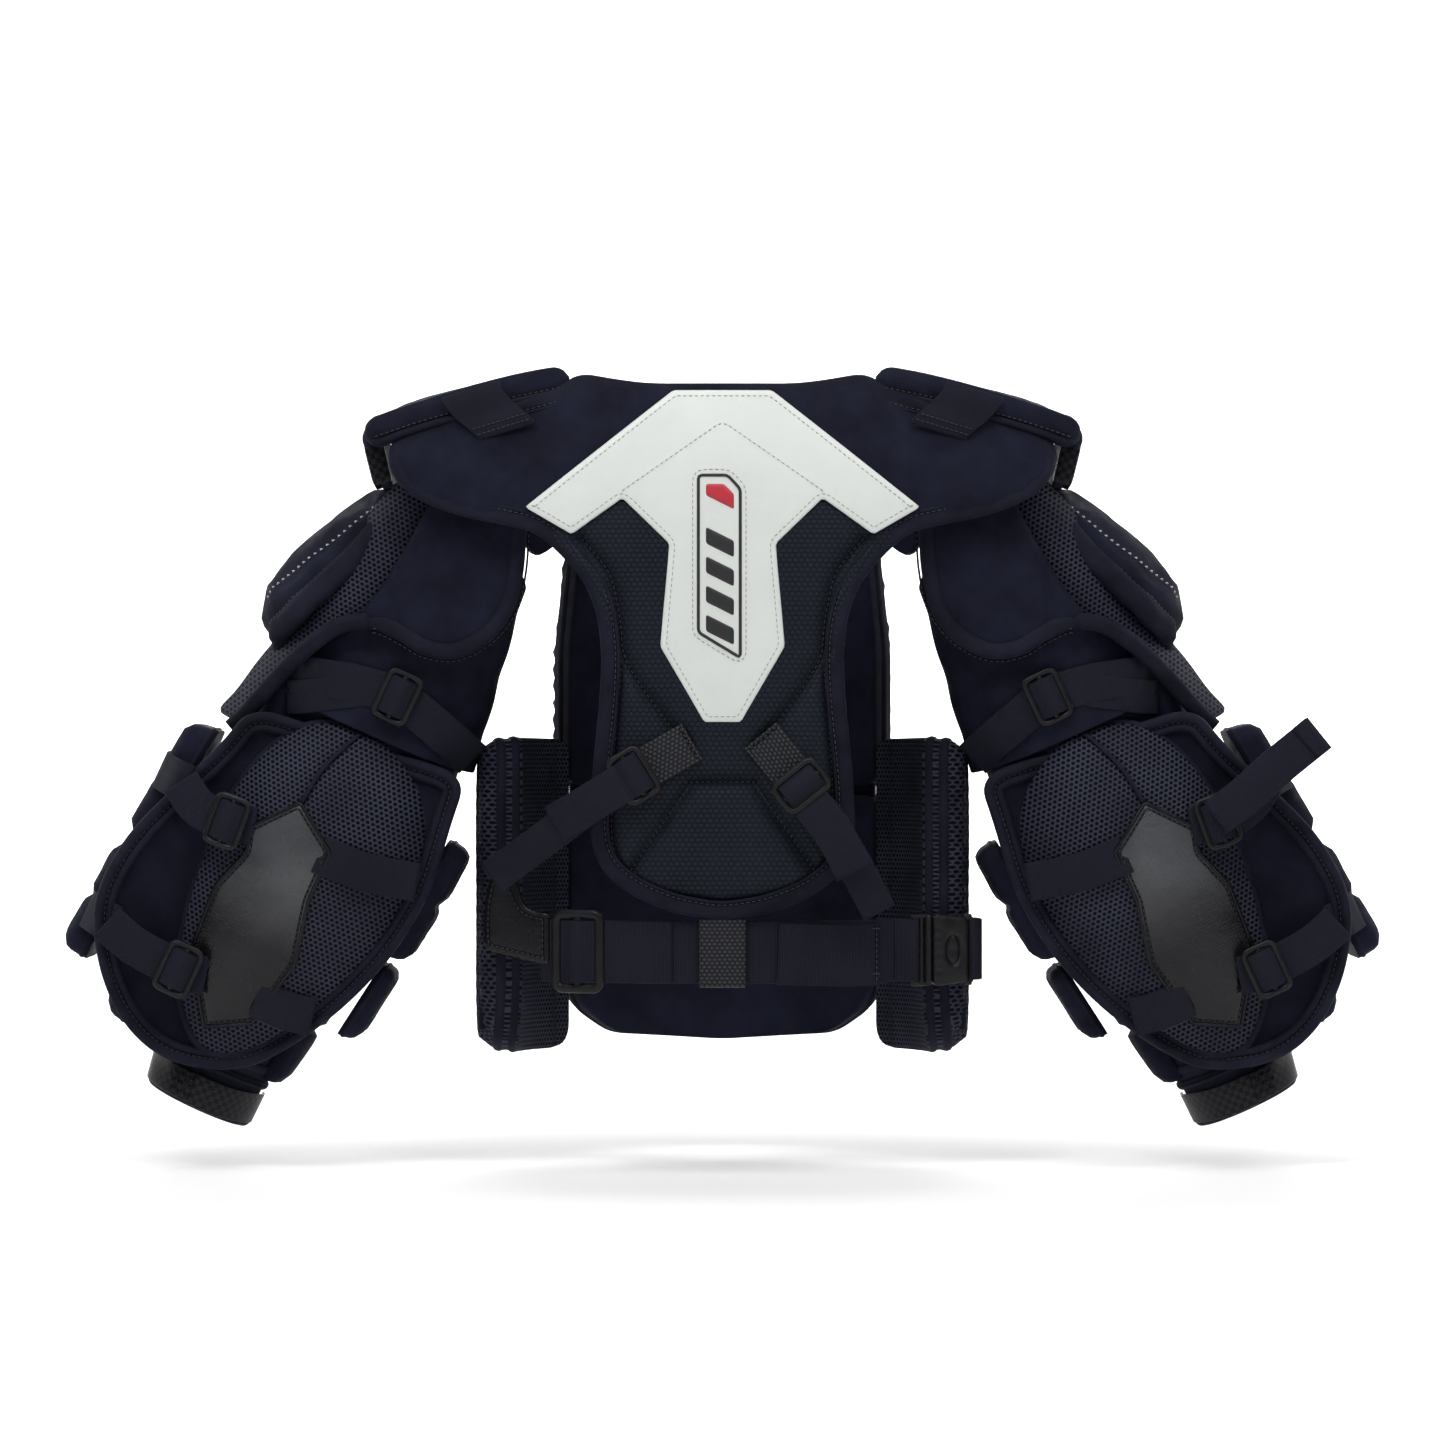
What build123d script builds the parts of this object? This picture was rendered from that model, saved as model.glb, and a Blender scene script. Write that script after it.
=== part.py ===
"""Ice-hockey goaltender's chest and arm protector, in millimetres.

+Z is up, the wearer faces +Y and the wearer's right arm is on +X.
The origin is the centre of the neck opening, level with the top of the back yoke.
Arms are built hanging straight down from the shoulder pivot, then tilted outwards and mirrored.
"""

import math
import os

from build123d import *

# Driving dimensions
WEB = 32.0                 # narrow elastic webbing, width
WEB_T = 2.0                # narrow elastic webbing, thickness
BELT_W = 50.0              # waist elastic, width
BELT_T = 2.6               # waist elastic, thickness
PAD = 12.0                 # back padding, thickness
GAP = 0.4                  # free play between neighbouring soft parts

CHEST_OUT = (200.0, 152.0) # outer half-width and half-depth of the vest
CHEST_IN = (164.0, 118.0)  # inner half-width and half-depth of the vest
CHEST_SPLIT_X = 150.0      # where the front pads end and the side pads begin
SIDE_BACK_Y = -38.0        # rear edge of the side pads
CHEST_TOP, CHEST_LOW = -78.0, -330.0
BELLY_LOW = -540.0
SIDE_TOP, SIDE_LOW = -285.0, -545.0

BACK_R = 1600.0            # horizontal radius of the back
BACK_Y = -124.0            # rearmost face of the back panel
BACK_AXIS = Axis((0, BACK_Y + BACK_R, 0), (0, 0, 1))
BACK_SWEEP = 24.0          # degrees of the back's sweep

SHOULDER_X = 118.0         # neck side of the shoulder bridge
BRIDGE_END_X = 245.0
BRIDGE_SLOPE = 15.8        # degrees
CAP_SLOPE = 14.0           # degrees
CAP_LENGTH = 174.0
CAP_T = 16.0
CAP_WALL = 14.0

BELT_R = 297.0             # radius of the waist belt in plan
BELT_Y = -104.0            # rearmost point of the belt
BELT_Z = -456.0            # middle of the belt

PIVOT = Vector(205.0, 0.0, -85.0)   # shoulder pivot of the right arm
ARM_TILT = 25.0            # degrees the arm leans outwards
ELBOW_DROP = 265.0         # elbow axis, below the shoulder pivot along the arm
ELBOW_Y = 25.0             # elbow axis, in front of the arm's middle
ELBOW_MITRE = 31.0         # degrees each side of the elbow is cut back at the front
STUD_R = 4.0
STUD_PLAY = 0.05

os.makedirs("parts", exist_ok=True)


def save(name, shape):
    """Writes one named piece."""
    export_step(shape, f"parts/{name}.step")


def solid_of(shape):
    """One compound or solid out of a boolean's result."""
    solids = shape.solids()
    return solids[0] if len(solids) == 1 else Compound(solids)


def box_between(low, high):
    """An axis-aligned box from its two corners."""
    size = [h - l for l, h in zip(low, high)]
    middle = [(h + l) / 2 for l, h in zip(low, high)]
    return Pos(*middle) * Box(*size)


def prism(points, y_low, y_high, smooth=False):
    """The outline of (x, z) points, extruded along Y."""
    corners = [Vector(x, y_low, z) for x, z in points]
    if smooth:
        wire = Wire([Edge.make_spline(corners, periodic=True)])
    else:
        wire = Wire.make_polygon(corners, close=True)
    return extrude(Face(wire), amount=y_high - y_low, dir=(0, 1, 0))


def both_sides(points):
    """A half outline (x >= 0, from top to bottom) and its mirror, as one closed outline."""
    return points + [(-x, z) for x, z in reversed(points) if x > 0]


def ellipse_tube(outer, inner, z_low, z_high, centre=(0.0, 0.0)):
    """An upright elliptical tube; outer and inner are (half-width, half-depth)."""
    at = Pos(centre[0], centre[1], z_low)
    height = z_high - z_low
    ring = extrude(at * Ellipse(*outer), height) - extrude(at * Ellipse(*inner), height)
    return ring


def strip(start, end, width, thickness, facing):
    """A flat strap from start to end whose broad face looks towards facing."""
    a, b = Vector(*start), Vector(*end)
    along = (b - a).normalized()
    normal = Vector(*facing)
    normal = (normal - along * normal.dot(along)).normalized()
    plane = Plane(origin=(a + b) * 0.5, x_dir=along, z_dir=normal)
    return plane * Box((b - a).length, width, thickness)


def slider_frame(middle, along, facing, web, bar=5.0, slot=8.0, thick=4.0):
    """A tri-glide: a rounded frame with two slots either side of a middle bar."""
    normal = Vector(*facing)
    direction = Vector(*along).normalized()
    normal = (normal - direction * normal.dot(direction)).normalized()
    length = 3 * bar + 2 * slot
    frame = RectangleRounded(length, web + 2 * bar + 1.0, bar * 0.8)
    offset = (bar + slot) / 2
    for side in (-1, 1):
        frame -= Pos(side * offset, 0) * RectangleRounded(slot, web + 1.0, 1.5)
    plane = Plane(origin=Vector(*middle), x_dir=direction, z_dir=normal)
    return plane * extrude(frame, thick / 2, both=True)


# ---------------------------------------------------------------- back

def back_shell(depth_in, depth_out):
    """The back's padding between two depths measured outwards from its inner face."""
    heights = (8, -30, -70, -150, -250, -350, -445)
    faces = (-84, -96, -106, -112, -112, -107, -99)
    inner = [Vector(0, y - depth_in, z) for z, y in zip(heights, faces)]
    outer = [Vector(0, y - depth_out, z) for z, y in zip(heights, faces)]
    wire = Wire([
        Edge.make_spline(inner),
        Edge.make_line(inner[-1], outer[-1]),
        Edge.make_spline(list(reversed(outer))),
        Edge.make_line(outer[0], inner[0]),
    ])
    swept = revolve(Face(wire), BACK_AXIS, BACK_SWEEP)
    return swept.rotate(BACK_AXIS, -BACK_SWEEP / 2)


YOKE_SEAM = [(0, -62), (146, -125)]


def back_panel():
    """The spine pad below the yoke seam."""
    half = YOKE_SEAM + [
        (130, -136), (118, -152), (106, -178), (99, -212), (97, -250), (100, -290),
        (104, -336), (105, -372), (98, -394), (80, -412), (48, -424), (0, -427),
    ]
    return solid_of(back_shell(0, PAD) & prism(both_sides(half), -200, 0))


def back_yoke():
    """The neck band and the two wings over the shoulder blades."""
    half = [
        (0, -8), (60, -6), (100, 1), (114, 2), (SHOULDER_X, -14), (BRIDGE_END_X, -50),
        (264, -54), (267, -68), (262, -82), (249, -97), (226, -108), (194, -116), (160, -121),
        (146.5, -125 + GAP), (0, -62 + GAP),
    ]
    return solid_of(back_shell(0, PAD) & prism(both_sides(half), -200, 0))


def chevron_patch():
    """The leather arrow sewn on the back: two arms and a long pointed tongue."""
    half = [(34, -12), (156, -110), (126, -128), (81, -97), (43, -132), (50, -218), (15, -274)]
    return solid_of(back_shell(PAD + GAP, PAD + GAP + 1.6) & prism(both_sides(half), -200, 0))


# ---------------------------------------------------------------- vest

def vest(z_low, z_high):
    return ellipse_tube(CHEST_OUT, CHEST_IN, z_low, z_high)


def chest_pad():
    """The upper front block, scooped out below the neck and cut away at the armholes."""
    half = [
        (0, CHEST_TOP - 34), (40, CHEST_TOP - 26), (72, CHEST_TOP), (118, CHEST_TOP - 4),
        (140, -130), (CHEST_SPLIT_X, -215), (CHEST_SPLIT_X, CHEST_LOW), (0, CHEST_LOW),
    ]
    return solid_of(vest(CHEST_LOW, CHEST_TOP) & prism(both_sides(half), 0, 200))


def belly_pad():
    """The lower front block, rounded at its lower corners."""
    half = [
        (0, CHEST_LOW - GAP), (CHEST_SPLIT_X, CHEST_LOW - GAP), (CHEST_SPLIT_X, -470),
        (136, -512), (104, -534), (0, BELLY_LOW),
    ]
    return solid_of(vest(BELLY_LOW, CHEST_LOW - GAP) & prism(both_sides(half), 0, 200))


def side_pad():
    """The right rib pad, from the front block round to its rear edge."""
    low, high = SIDE_LOW, SIDE_TOP
    keep = box_between((CHEST_SPLIT_X + GAP, SIDE_BACK_Y, low), (210, 160, high))
    return solid_of(vest(low, high) & keep)


def sternum_guard():
    """A raised guard over the breastbone, outside the chest block."""
    outer = (CHEST_OUT[0] + 12, CHEST_OUT[1] + 12)
    inner = (CHEST_OUT[0] + GAP, CHEST_OUT[1] + GAP)
    half = [(0, -128), (46, -122), (70, -150), (62, -250), (36, -300), (0, -312)]
    return solid_of(ellipse_tube(outer, inner, -312, -100) & prism(both_sides(half), 0, 200))


def shoulder_bridge():
    """The right pad over the shoulder, between the yoke and the chest."""
    length = (BRIDGE_END_X - SHOULDER_X) / math.cos(math.radians(BRIDGE_SLOPE))
    dome = Plane.YZ * Ellipse(92, 18)
    dome &= Plane.YZ * Pos(0, 15) * Rectangle(200, 30)
    pad = extrude(dome, length)
    return solid_of(Pos(SHOULDER_X, 14, -24) * Rot(0, BRIDGE_SLOPE, 0) * pad)


def collar_strap():
    """The right strap of padding from the shoulder bridge down to the chest block."""
    return strip((180, 116, -56), (134, 125, -122), 58, 10, (0.63, 1, 0.1))


# ---------------------------------------------------------------- shoulder cap

def in_cap(shape):
    """Places a shape from the right cap's own frame, whose origin is its neck-side hinge."""
    return Pos(SHOULDER_X, 0, -7) * Rot(0, CAP_SLOPE, 0) * shape


def cap_pad():
    """The floating cap: an arched pad with a wall that drops over the arm's top."""
    above = Plane.YZ * Pos(5, 20) * Rectangle(240, 40)
    arch = Plane.YZ * Pos(5, 0) * (Ellipse(98, 21) - Ellipse(80, 21 - CAP_T))
    arch &= above
    pad = extrude(arch, CAP_LENGTH)
    pad += box_between((CAP_LENGTH - CAP_WALL, -66, -40), (CAP_LENGTH, 76, 8))
    return solid_of(in_cap(pad))


# ---------------------------------------------------------------- belt

def belt_point(x):
    """(y, tangent angle in degrees) of the belt's outer face at x."""
    y = BELT_Y + BELT_R - math.sqrt(BELT_R**2 - x**2)
    return y, math.degrees(math.asin(x / BELT_R))


def waist_belt():
    """The elastic belt across the small of the back."""
    centre = Pos(0, BELT_Y + BELT_R, BELT_Z - BELT_W / 2)
    ring = extrude(centre * Circle(BELT_R), BELT_W) - extrude(centre * Circle(BELT_R - BELT_T), BELT_W)
    return solid_of(ring & box_between((-146, -150, -500), (148, 0, -400)))


def belt_keeper():
    """The woven loop that ties the belt to the foot of the back panel."""
    low, high = BELT_Z - BELT_W / 2 - 3, BELT_Z + BELT_W / 2 + 3
    back = box_between((-19, BELT_Y - 3.4, low), (19, BELT_Y - 0.6, high))
    front = box_between((-19, BELT_Y + BELT_T + 1.4, low), (19, BELT_Y + BELT_T + 3.4, high))
    top = box_between((-19, BELT_Y - 3.4, high - 2), (19, BELT_Y + BELT_T + 3.4, high))
    foot = box_between((-19, BELT_Y - 3.4, low), (19, BELT_Y + BELT_T + 3.4, low + 2))
    return solid_of(back + front + top + foot)


def belt_side_tab():
    """The vinyl tab that holds the belt's fixed end on the left rib pad."""
    return strip((-195, -43, -447), (-149, -66, -451), 70, 3, (-0.4, -1, 0))


def waist_slider():
    y, angle = belt_point(-116)
    lean = math.radians(angle)
    along = (math.cos(lean), math.sin(lean), 0)
    out = (math.sin(lean), -math.cos(lean), 0)
    middle = (-116 + out[0] * 3.2, y + out[1] * 3.2, BELT_Z)
    return slider_frame(middle, along, out, BELT_W, bar=6, slot=11, thick=4.5)


BUCKLE = Plane(origin=(176, -55.5, BELT_Z), x_dir=(0.94, 0.34, 0), z_dir=(0.34, -0.94, 0))


def buckle_female():
    """The buckle's housing: open at one end, with an oval window in its face."""
    body = Pos(6, 0) * Box(30, 58, 12)
    body = fillet(body.edges().filter_by(Axis.Z), 5)
    body -= Pos(3, 0) * Box(30, 47, 7.5)
    body -= Pos(8, 0, 3) * extrude(Ellipse(7.2, 13.2), 4)
    bar = Pos(25, 0) * Box(4, 58, 4)
    ears = [Pos(23, y) * Box(10, 4, 4) for y in (-27, 27)]
    return solid_of(BUCKLE * (body + bar + ears[0] + ears[1]))


def buckle_male():
    """The buckle's plug: a ladder bar for the belt and a tongue in the housing."""
    tongue = Pos(-2.5, 0, -1.9) * Box(17, 45, 2.7)
    flange = Pos(-13, 0) * Box(5, 58, 11)
    ladder = Pos(-21, 0) * Box(12, 58, 5) - Pos(-20, 0) * Box(6, 51, 6)
    return solid_of(BUCKLE * (tongue + flange + ladder))


def buckle_button():
    """The oval release button that shows in the housing's window."""
    button = Pos(8, 0, 3.45) * extrude(Ellipse(6.6, 12.6), 3.2)
    return solid_of(BUCKLE * button)


# ---------------------------------------------------------------- back straps

BACK_STRAPS = {
    "left": ((-30, -130.5, -292), (-96, -129.5, -332), (-187, -60, -398)),
    "right": ((34, -130.5, -290), (84, -129.5, -350), (128, -112, -424)),
}
BACK_OUT = (0, -1, 0)
LEFT_TAIL_OUT = (-0.55, -1, 0)


def back_strap(side):
    """The elastic from the spine pad to the waist, in two straight runs."""
    start, bend, end = BACK_STRAPS[side]
    facing = LEFT_TAIL_OUT if side == "left" else BACK_OUT
    first = strip(start, bend, WEB, WEB_T, BACK_OUT)
    a, b = Vector(*bend), Vector(*end)
    step = (b - a).normalized() * GAP
    second = strip(tuple(a + step), tuple(b), WEB, WEB_T, facing)
    return Compound([first.solid(), (second - first).solid()])


def back_slider(side):
    start, bend, _ = BACK_STRAPS[side]
    a, b = Vector(*start), Vector(*bend)
    middle = a + (b - a) * 0.62 + Vector(0, -(WEB_T / 2 + 2.0 + 0.4), 0)
    return slider_frame(tuple(middle), tuple(b - a), BACK_OUT, WEB)


# ---------------------------------------------------------------- shoulder stud and cap tab

def arm_stud():
    """The short stud inside the right wing that the arm hangs on."""
    pin = Pos(PIVOT.X, -81.5, PIVOT.Z) * Rot(90, 0, 0) * Cylinder(STUD_R, 20)
    head = Pos(PIVOT.X, -71.5, PIVOT.Z) * Rot(90, 0, 0) * Cylinder(STUD_R * 2, 3)
    flange = Pos(PIVOT.X, -91.2, PIVOT.Z) * Rot(90, 0, 0) * Cylinder(STUD_R * 2.5, 2)
    return solid_of(pin + head + flange)


def cap_tab():
    """The webbing square that ties the right cap to the wing."""
    return strip((177, -100.2, -24), (199, -103.4, -42), 40, 2.4, (0.12, -1, 0.29))


# ---------------------------------------------------------------- arm, hanging straight down

def place(shape):
    """Tilts a hanging piece outwards and carries it to the right shoulder pivot."""
    return solid_of(Pos(*PIVOT) * Rot(0, -ARM_TILT, 0) * shape)


def mitre(upper):
    """The space that one side of the elbow may fill, so that the joint can fold forwards."""
    slope = math.tan(math.radians(ELBOW_MITRE))
    reach = 140
    edge = -ELBOW_DROP + (4 if upper else -4)
    lift = slope * reach if upper else -slope * reach
    far = 0 if upper else -700
    corners = [(-200, edge), (ELBOW_Y, edge), (ELBOW_Y + reach, edge + lift), (ELBOW_Y + reach, far), (-200, far)]
    wire = Wire.make_polygon([Vector(-200, y, z) for y, z in corners], close=True)
    return extrude(Face(wire), amount=400, dir=(1, 0, 0))


UPPER_RING = ((88.0, 80.0), (68.0, 58.0), (4.0, 2.0))
FLOATER_RING = ((117.0, 100.0), (101.0, 86.0), (-5.0, 0.0))
GUARD_TOP = ((107.0, 82.0), (86.0, 60.0), (-2.0, 6.0))
GUARD_FOOT = ((62.0, 58.0), (46.0, 42.0), (-4.0, 6.0))
GUARD_SPAN = (-240.0, -506.0)
SLING_RING = ((84.0, 56.0), (70.0, 42.0), (-12.0, -40.0))
FLAP_Y = -77.5             # middle of the rear flap's thickness


def upper_arm_guard():
    """The biceps guard: a gutter round the front and sides, and a fabric panel behind."""
    outer, inner, centre = UPPER_RING
    ring = ellipse_tube(outer, inner, -250, -92, centre)
    ring -= box_between((-150, -150, -300), (150, -40, 0))
    gutter = ring & mitre(True)
    panel = box_between((-88, -65, -214), (62, -60, -72))
    return place(Compound([gutter.solid(), panel]))


def biceps_floater():
    """The outer cap over the top of the arm."""
    outer, inner, centre = FLOATER_RING
    ring = ellipse_tube(outer, inner, -200, -40, centre)
    side = [(35, -50), (80, -44), (97, -70), (109, -112), (114, -135), (108, -168), (95, -190), (35, -184)]
    return place(ring & prism(side, -58, 110))


def rear_flap():
    """The round flap that covers the back of the shoulder and hangs on the stud."""
    outline = Plane.XZ * Pos(-20, -64) * Ellipse(55, 72)
    flap = Pos(0, FLAP_Y, 0) * extrude(outline, 4, both=True)
    hole = Pos(0, FLAP_Y, 0) * Rot(90, 0, 0) * Cylinder(STUD_R + STUD_PLAY, 20)
    return place(flap - hole)


def tapered_shell(inset_out, inset_in, z_high, z_low):
    """Part of the forearm guard's gutter, between two insets from its outer face."""
    (top_out, _, top_c), (foot_out, _, foot_c) = GUARD_TOP, GUARD_FOOT

    def skin(inset):
        """The tapered outer face, moved in by inset."""
        rings = [
            Pos(c[0], c[1], z) * Ellipse(r[0] - inset, r[1] - inset)
            for r, c, z in ((top_out, top_c, GUARD_SPAN[0]), (foot_out, foot_c, GUARD_SPAN[1]))
        ]
        return loft(rings)

    shell = skin(inset_out) - skin(inset_in)
    shell -= box_between((-150, -150, -700), (150, -38, 0))
    shell &= box_between((-150, -150, z_low), (150, 150, z_high))
    return shell & mitre(False)


def forearm_guard():
    """The forearm gutter, open at the back and cut back at the front of the elbow."""
    return place(tapered_shell(0, 18, *GUARD_SPAN))


def elbow_cup():
    """The plastic cup inside the elbow end of the gutter."""
    return place(tapered_shell(18.3, 21, -285, -392))


def elbow_sling():
    """The padded mesh pocket behind the elbow and forearm."""
    outer, inner, centre = SLING_RING
    ring = ellipse_tube(outer, inner, -500, -222, centre)
    keep = [(-90, -300), (-60, -240), (-12, -222), (36, -240), (66, -290), (62, -400), (30, -490), (-50, -500), (-84, -440)]
    return place(ring & prism(keep, -150, -54, smooth=True))


def elbow_patch():
    """The vinyl patch on the sling, over the point of the elbow."""
    outer, _, centre = SLING_RING
    ring = ellipse_tube((outer[0] + 2, outer[1] + 2), (outer[0] + GAP, outer[1] + GAP), -486, -288, centre)
    keep = [(12, -289), (-27, -314), (-30, -364), (-32, -462), (6, -485), (30, -472), (44, -417), (45, -330), (36, -312)]
    return place(ring & prism(keep, -150, -60))


def arm_side_pad(z_high, z_low, a_high, a_low, thick, y_low, y_high):
    """A pad beside the gutter; its face away from the arm runs from a_high down to a_low."""
    corners = [(a_high - thick, z_high), (a_high, z_high), (a_low, z_low), (a_low - thick, z_low)]
    return prism(corners, y_low, y_high)


def outer_pads():
    """The three pads down the outside of the forearm."""
    elbow = arm_side_pad(-262, -366, 126, 129, 18, -44, 52) & mitre(False)
    middle = arm_side_pad(-370, -452, 128, 136, 22, -40, 48)
    wrist = arm_side_pad(-456, -510, 98, 84, 16, -34, 40)
    return place(Compound([pad.solid() for pad in (elbow, middle, wrist)]))


def inner_pads():
    """The two pads down the inside of the forearm."""
    elbow = arm_side_pad(-262, -372, -107, -97, 18, -44, 40) & mitre(False)
    middle = arm_side_pad(-376, -446, -100, -91, 14, -44, 36)
    return place(Compound([pad.solid() for pad in (elbow, middle)]))


def wrist_cuff():
    """The stretch cuff at the wrist."""
    return place(ellipse_tube((58, 50), (50, 42), -545, -508, (0.0, 6.0)))


def cuff_tab():
    """The vinyl strap round the back of the cuff."""
    ring = ellipse_tube((60.5, 52.5), (58.4, 50.4), -544, -518, (0.0, 6.0))
    return place(ring & box_between((-70, -60, -560), (70, 0, -500)))


def arm_strap(drop, a_out, a_in, y):
    """A strap across the back of the arm, drop below the shoulder pivot."""
    return place(strip((a_out, y, -drop), (a_in, y, -drop), WEB, WEB_T, BACK_OUT))


def arm_slider(drop, a, y):
    """The tri-glide on an arm strap."""
    return place(slider_frame((a, y - WEB_T / 2 - 2.4, -drop), (1, 0, 0), BACK_OUT, WEB))


UPPER_STRAP = (176, 58, -100, -68.5)
ELBOW_STRAP = (318, 104, -104, -101.5)
WRIST_STRAP = (440, 92, -80, -101.5)

RIGHT_ARM = {
    "upper_arm_guard": upper_arm_guard,
    "biceps_floater": biceps_floater,
    "rear_flap": rear_flap,
    "upper_strap": lambda: arm_strap(*UPPER_STRAP),
    "upper_slider": lambda: arm_slider(UPPER_STRAP[0], -22, UPPER_STRAP[3]),
    "forearm_guard": forearm_guard,
    "elbow_cup": elbow_cup,
    "elbow_sling": elbow_sling,
    "elbow_patch": elbow_patch,
    "outer_pads": outer_pads,
    "inner_pads": inner_pads,
    "elbow_strap": lambda: arm_strap(*ELBOW_STRAP),
    "elbow_slider": lambda: arm_slider(ELBOW_STRAP[0], 54, ELBOW_STRAP[3]),
    "wrist_strap": lambda: arm_strap(*WRIST_STRAP),
    "wrist_slider": lambda: arm_slider(WRIST_STRAP[0], 42, WRIST_STRAP[3]),
    "wrist_cuff": wrist_cuff,
    "cuff_tab": cuff_tab,
}

RIGHT_TORSO = {
    "side_pad": side_pad,
    "shoulder_bridge": shoulder_bridge,
    "shoulder_cap": cap_pad,
}

PAIRS = {
    "arm_studs": arm_stud,
    "cap_tabs": cap_tab,
    "collar_straps": collar_strap,
}

MIDDLE = {
    "back_panel": back_panel,
    "back_yoke": back_yoke,
    "chevron_patch": chevron_patch,
    "chest_pad": chest_pad,
    "belly_pad": belly_pad,
    "sternum_guard": sternum_guard,
    "waist_belt": waist_belt,
    "belt_keeper": belt_keeper,
    "belt_side_tab": belt_side_tab,
    "waist_slider": waist_slider,
    "buckle_female": buckle_female,
    "buckle_male": buckle_male,
    "buckle_button": buckle_button,
}

for node, make in MIDDLE.items():
    save(node, make())

for node, make in {**RIGHT_TORSO, **RIGHT_ARM}.items():
    right = make()
    save(f"{node}_right", right)
    save(f"{node}_left", mirror(right, about=Plane.YZ))

for node, make in PAIRS.items():
    right = make()
    save(node, Compound([right.solid(), mirror(right, about=Plane.YZ).solid()]))

for side_name in BACK_STRAPS:
    save(f"back_strap_{side_name}", back_strap(side_name))
    save(f"back_slider_{side_name}", back_slider(side_name))
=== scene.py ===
"""Looks of the goaltender's chest and arm protector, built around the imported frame.

Shapes are written in millimetres and turned into metres when a mesh is made.
A surface is described by a place function: (u, v, out) to (x, y, z), where out is the
distance that a point stands off the surface. Arms are built for the right side and mirrored.
"""

import math
import bpy
import bmesh
import numpy as np
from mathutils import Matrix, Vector
from mathutils.geometry import delaunay_2d_cdt


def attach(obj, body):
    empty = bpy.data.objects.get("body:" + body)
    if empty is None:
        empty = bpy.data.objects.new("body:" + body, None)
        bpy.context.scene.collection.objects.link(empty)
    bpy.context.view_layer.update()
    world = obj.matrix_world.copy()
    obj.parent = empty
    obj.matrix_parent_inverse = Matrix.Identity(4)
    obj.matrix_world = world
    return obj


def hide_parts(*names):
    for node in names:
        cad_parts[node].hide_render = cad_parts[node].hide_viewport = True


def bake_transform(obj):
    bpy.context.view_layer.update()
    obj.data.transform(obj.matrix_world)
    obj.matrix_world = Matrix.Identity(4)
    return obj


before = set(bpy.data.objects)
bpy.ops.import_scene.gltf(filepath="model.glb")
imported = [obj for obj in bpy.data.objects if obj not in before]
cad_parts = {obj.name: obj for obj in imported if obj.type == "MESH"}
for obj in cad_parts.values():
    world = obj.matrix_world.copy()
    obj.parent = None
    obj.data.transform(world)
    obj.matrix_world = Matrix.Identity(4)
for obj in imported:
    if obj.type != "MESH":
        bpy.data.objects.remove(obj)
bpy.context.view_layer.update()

MM = 0.001
RIGHT, LEFT = 1, -1
SIDE_NAMES = {RIGHT: "right", LEFT: "left"}


# ================================================================ plane geometry

def rounded(points, radius, step=3.0, closed=True):
    """A polyline through the points with its corners rounded, sampled about every step.

    radius is one number or one per point; a corner's curve never takes over half an edge.
    """
    pts = [np.array(p, float) for p in points]
    count = len(pts)
    radii = radius if isinstance(radius, (list, tuple)) else [radius] * count
    out = []
    for i, p in enumerate(pts):
        if not closed and i in (0, count - 1):
            out.append(p)
            continue
        before, after = pts[i - 1], pts[(i + 1) % count]
        to_before, to_after = before - p, after - p
        len_b, len_a = np.linalg.norm(to_before), np.linalg.norm(to_after)
        reach_b = min(radii[i], len_b * 0.49)
        reach_a = min(radii[i], len_a * 0.49)
        start = p + to_before / len_b * reach_b
        end = p + to_after / len_a * reach_a
        pieces = max(2, int((reach_a + reach_b) / step))
        for k in range(pieces + 1):
            t = k / pieces
            out.append(start * (1 - t) ** 2 + p * 2 * t * (1 - t) + end * t * t)
    return resample(np.array(out), step, closed)


def curve(points, step=3.0, closed=True):
    """A smooth Catmull-Rom curve through the points, sampled about every step."""
    p = np.array(points, float)
    n = len(p)
    spans = n if closed else n - 1
    out = []
    for i in range(spans):
        if closed:
            a, b, c, d = p[i - 1], p[i], p[(i + 1) % n], p[(i + 2) % n]
        else:
            a, b, c, d = p[max(i - 1, 0)], p[i], p[i + 1], p[min(i + 2, n - 1)]
        pieces = max(3, int(np.linalg.norm(c - b) / step) + 1)
        for t in np.linspace(0, 1, pieces, endpoint=False):
            out.append(0.5 * (2 * b + (c - a) * t + (2 * a - 5 * b + 4 * c - d) * t**2
                              + (3 * b - a - 3 * c + d) * t**3))
    if not closed:
        out.append(p[-1])
    return resample(np.array(out), step, closed)


def resample(path, step, closed):
    """The same path with evenly spaced points; an open one keeps its two ends."""
    ring = np.vstack([path, path[:1]]) if closed else path
    gaps = np.linalg.norm(np.diff(ring, axis=0), axis=1)
    along = np.concatenate([[0], np.cumsum(gaps)])
    count = max(4, int(round(along[-1] / step)))
    marks = np.linspace(0, along[-1], count + 1)
    if closed:
        marks = marks[:-1]
    return np.stack([np.interp(marks, along, ring[:, k]) for k in range(ring.shape[1])], axis=1)


def distance(points, path, closed=False):
    """Each point's distance to a polyline."""
    ring = np.vstack([path, path[:1]]) if closed else path
    a, b = ring[:-1], ring[1:]
    ab = b - a
    length2 = np.maximum((ab**2).sum(1), 1e-9)
    best = np.full(len(points), 1e9)
    for i in range(0, len(points), 4000):
        p = points[i:i + 4000, None, :]
        t = np.clip(((p - a) * ab).sum(2) / length2, 0, 1)
        gap = p - (a + ab * t[..., None])
        best[i:i + 4000] = np.sqrt((gap**2).sum(2)).min(1)
    return best


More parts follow.
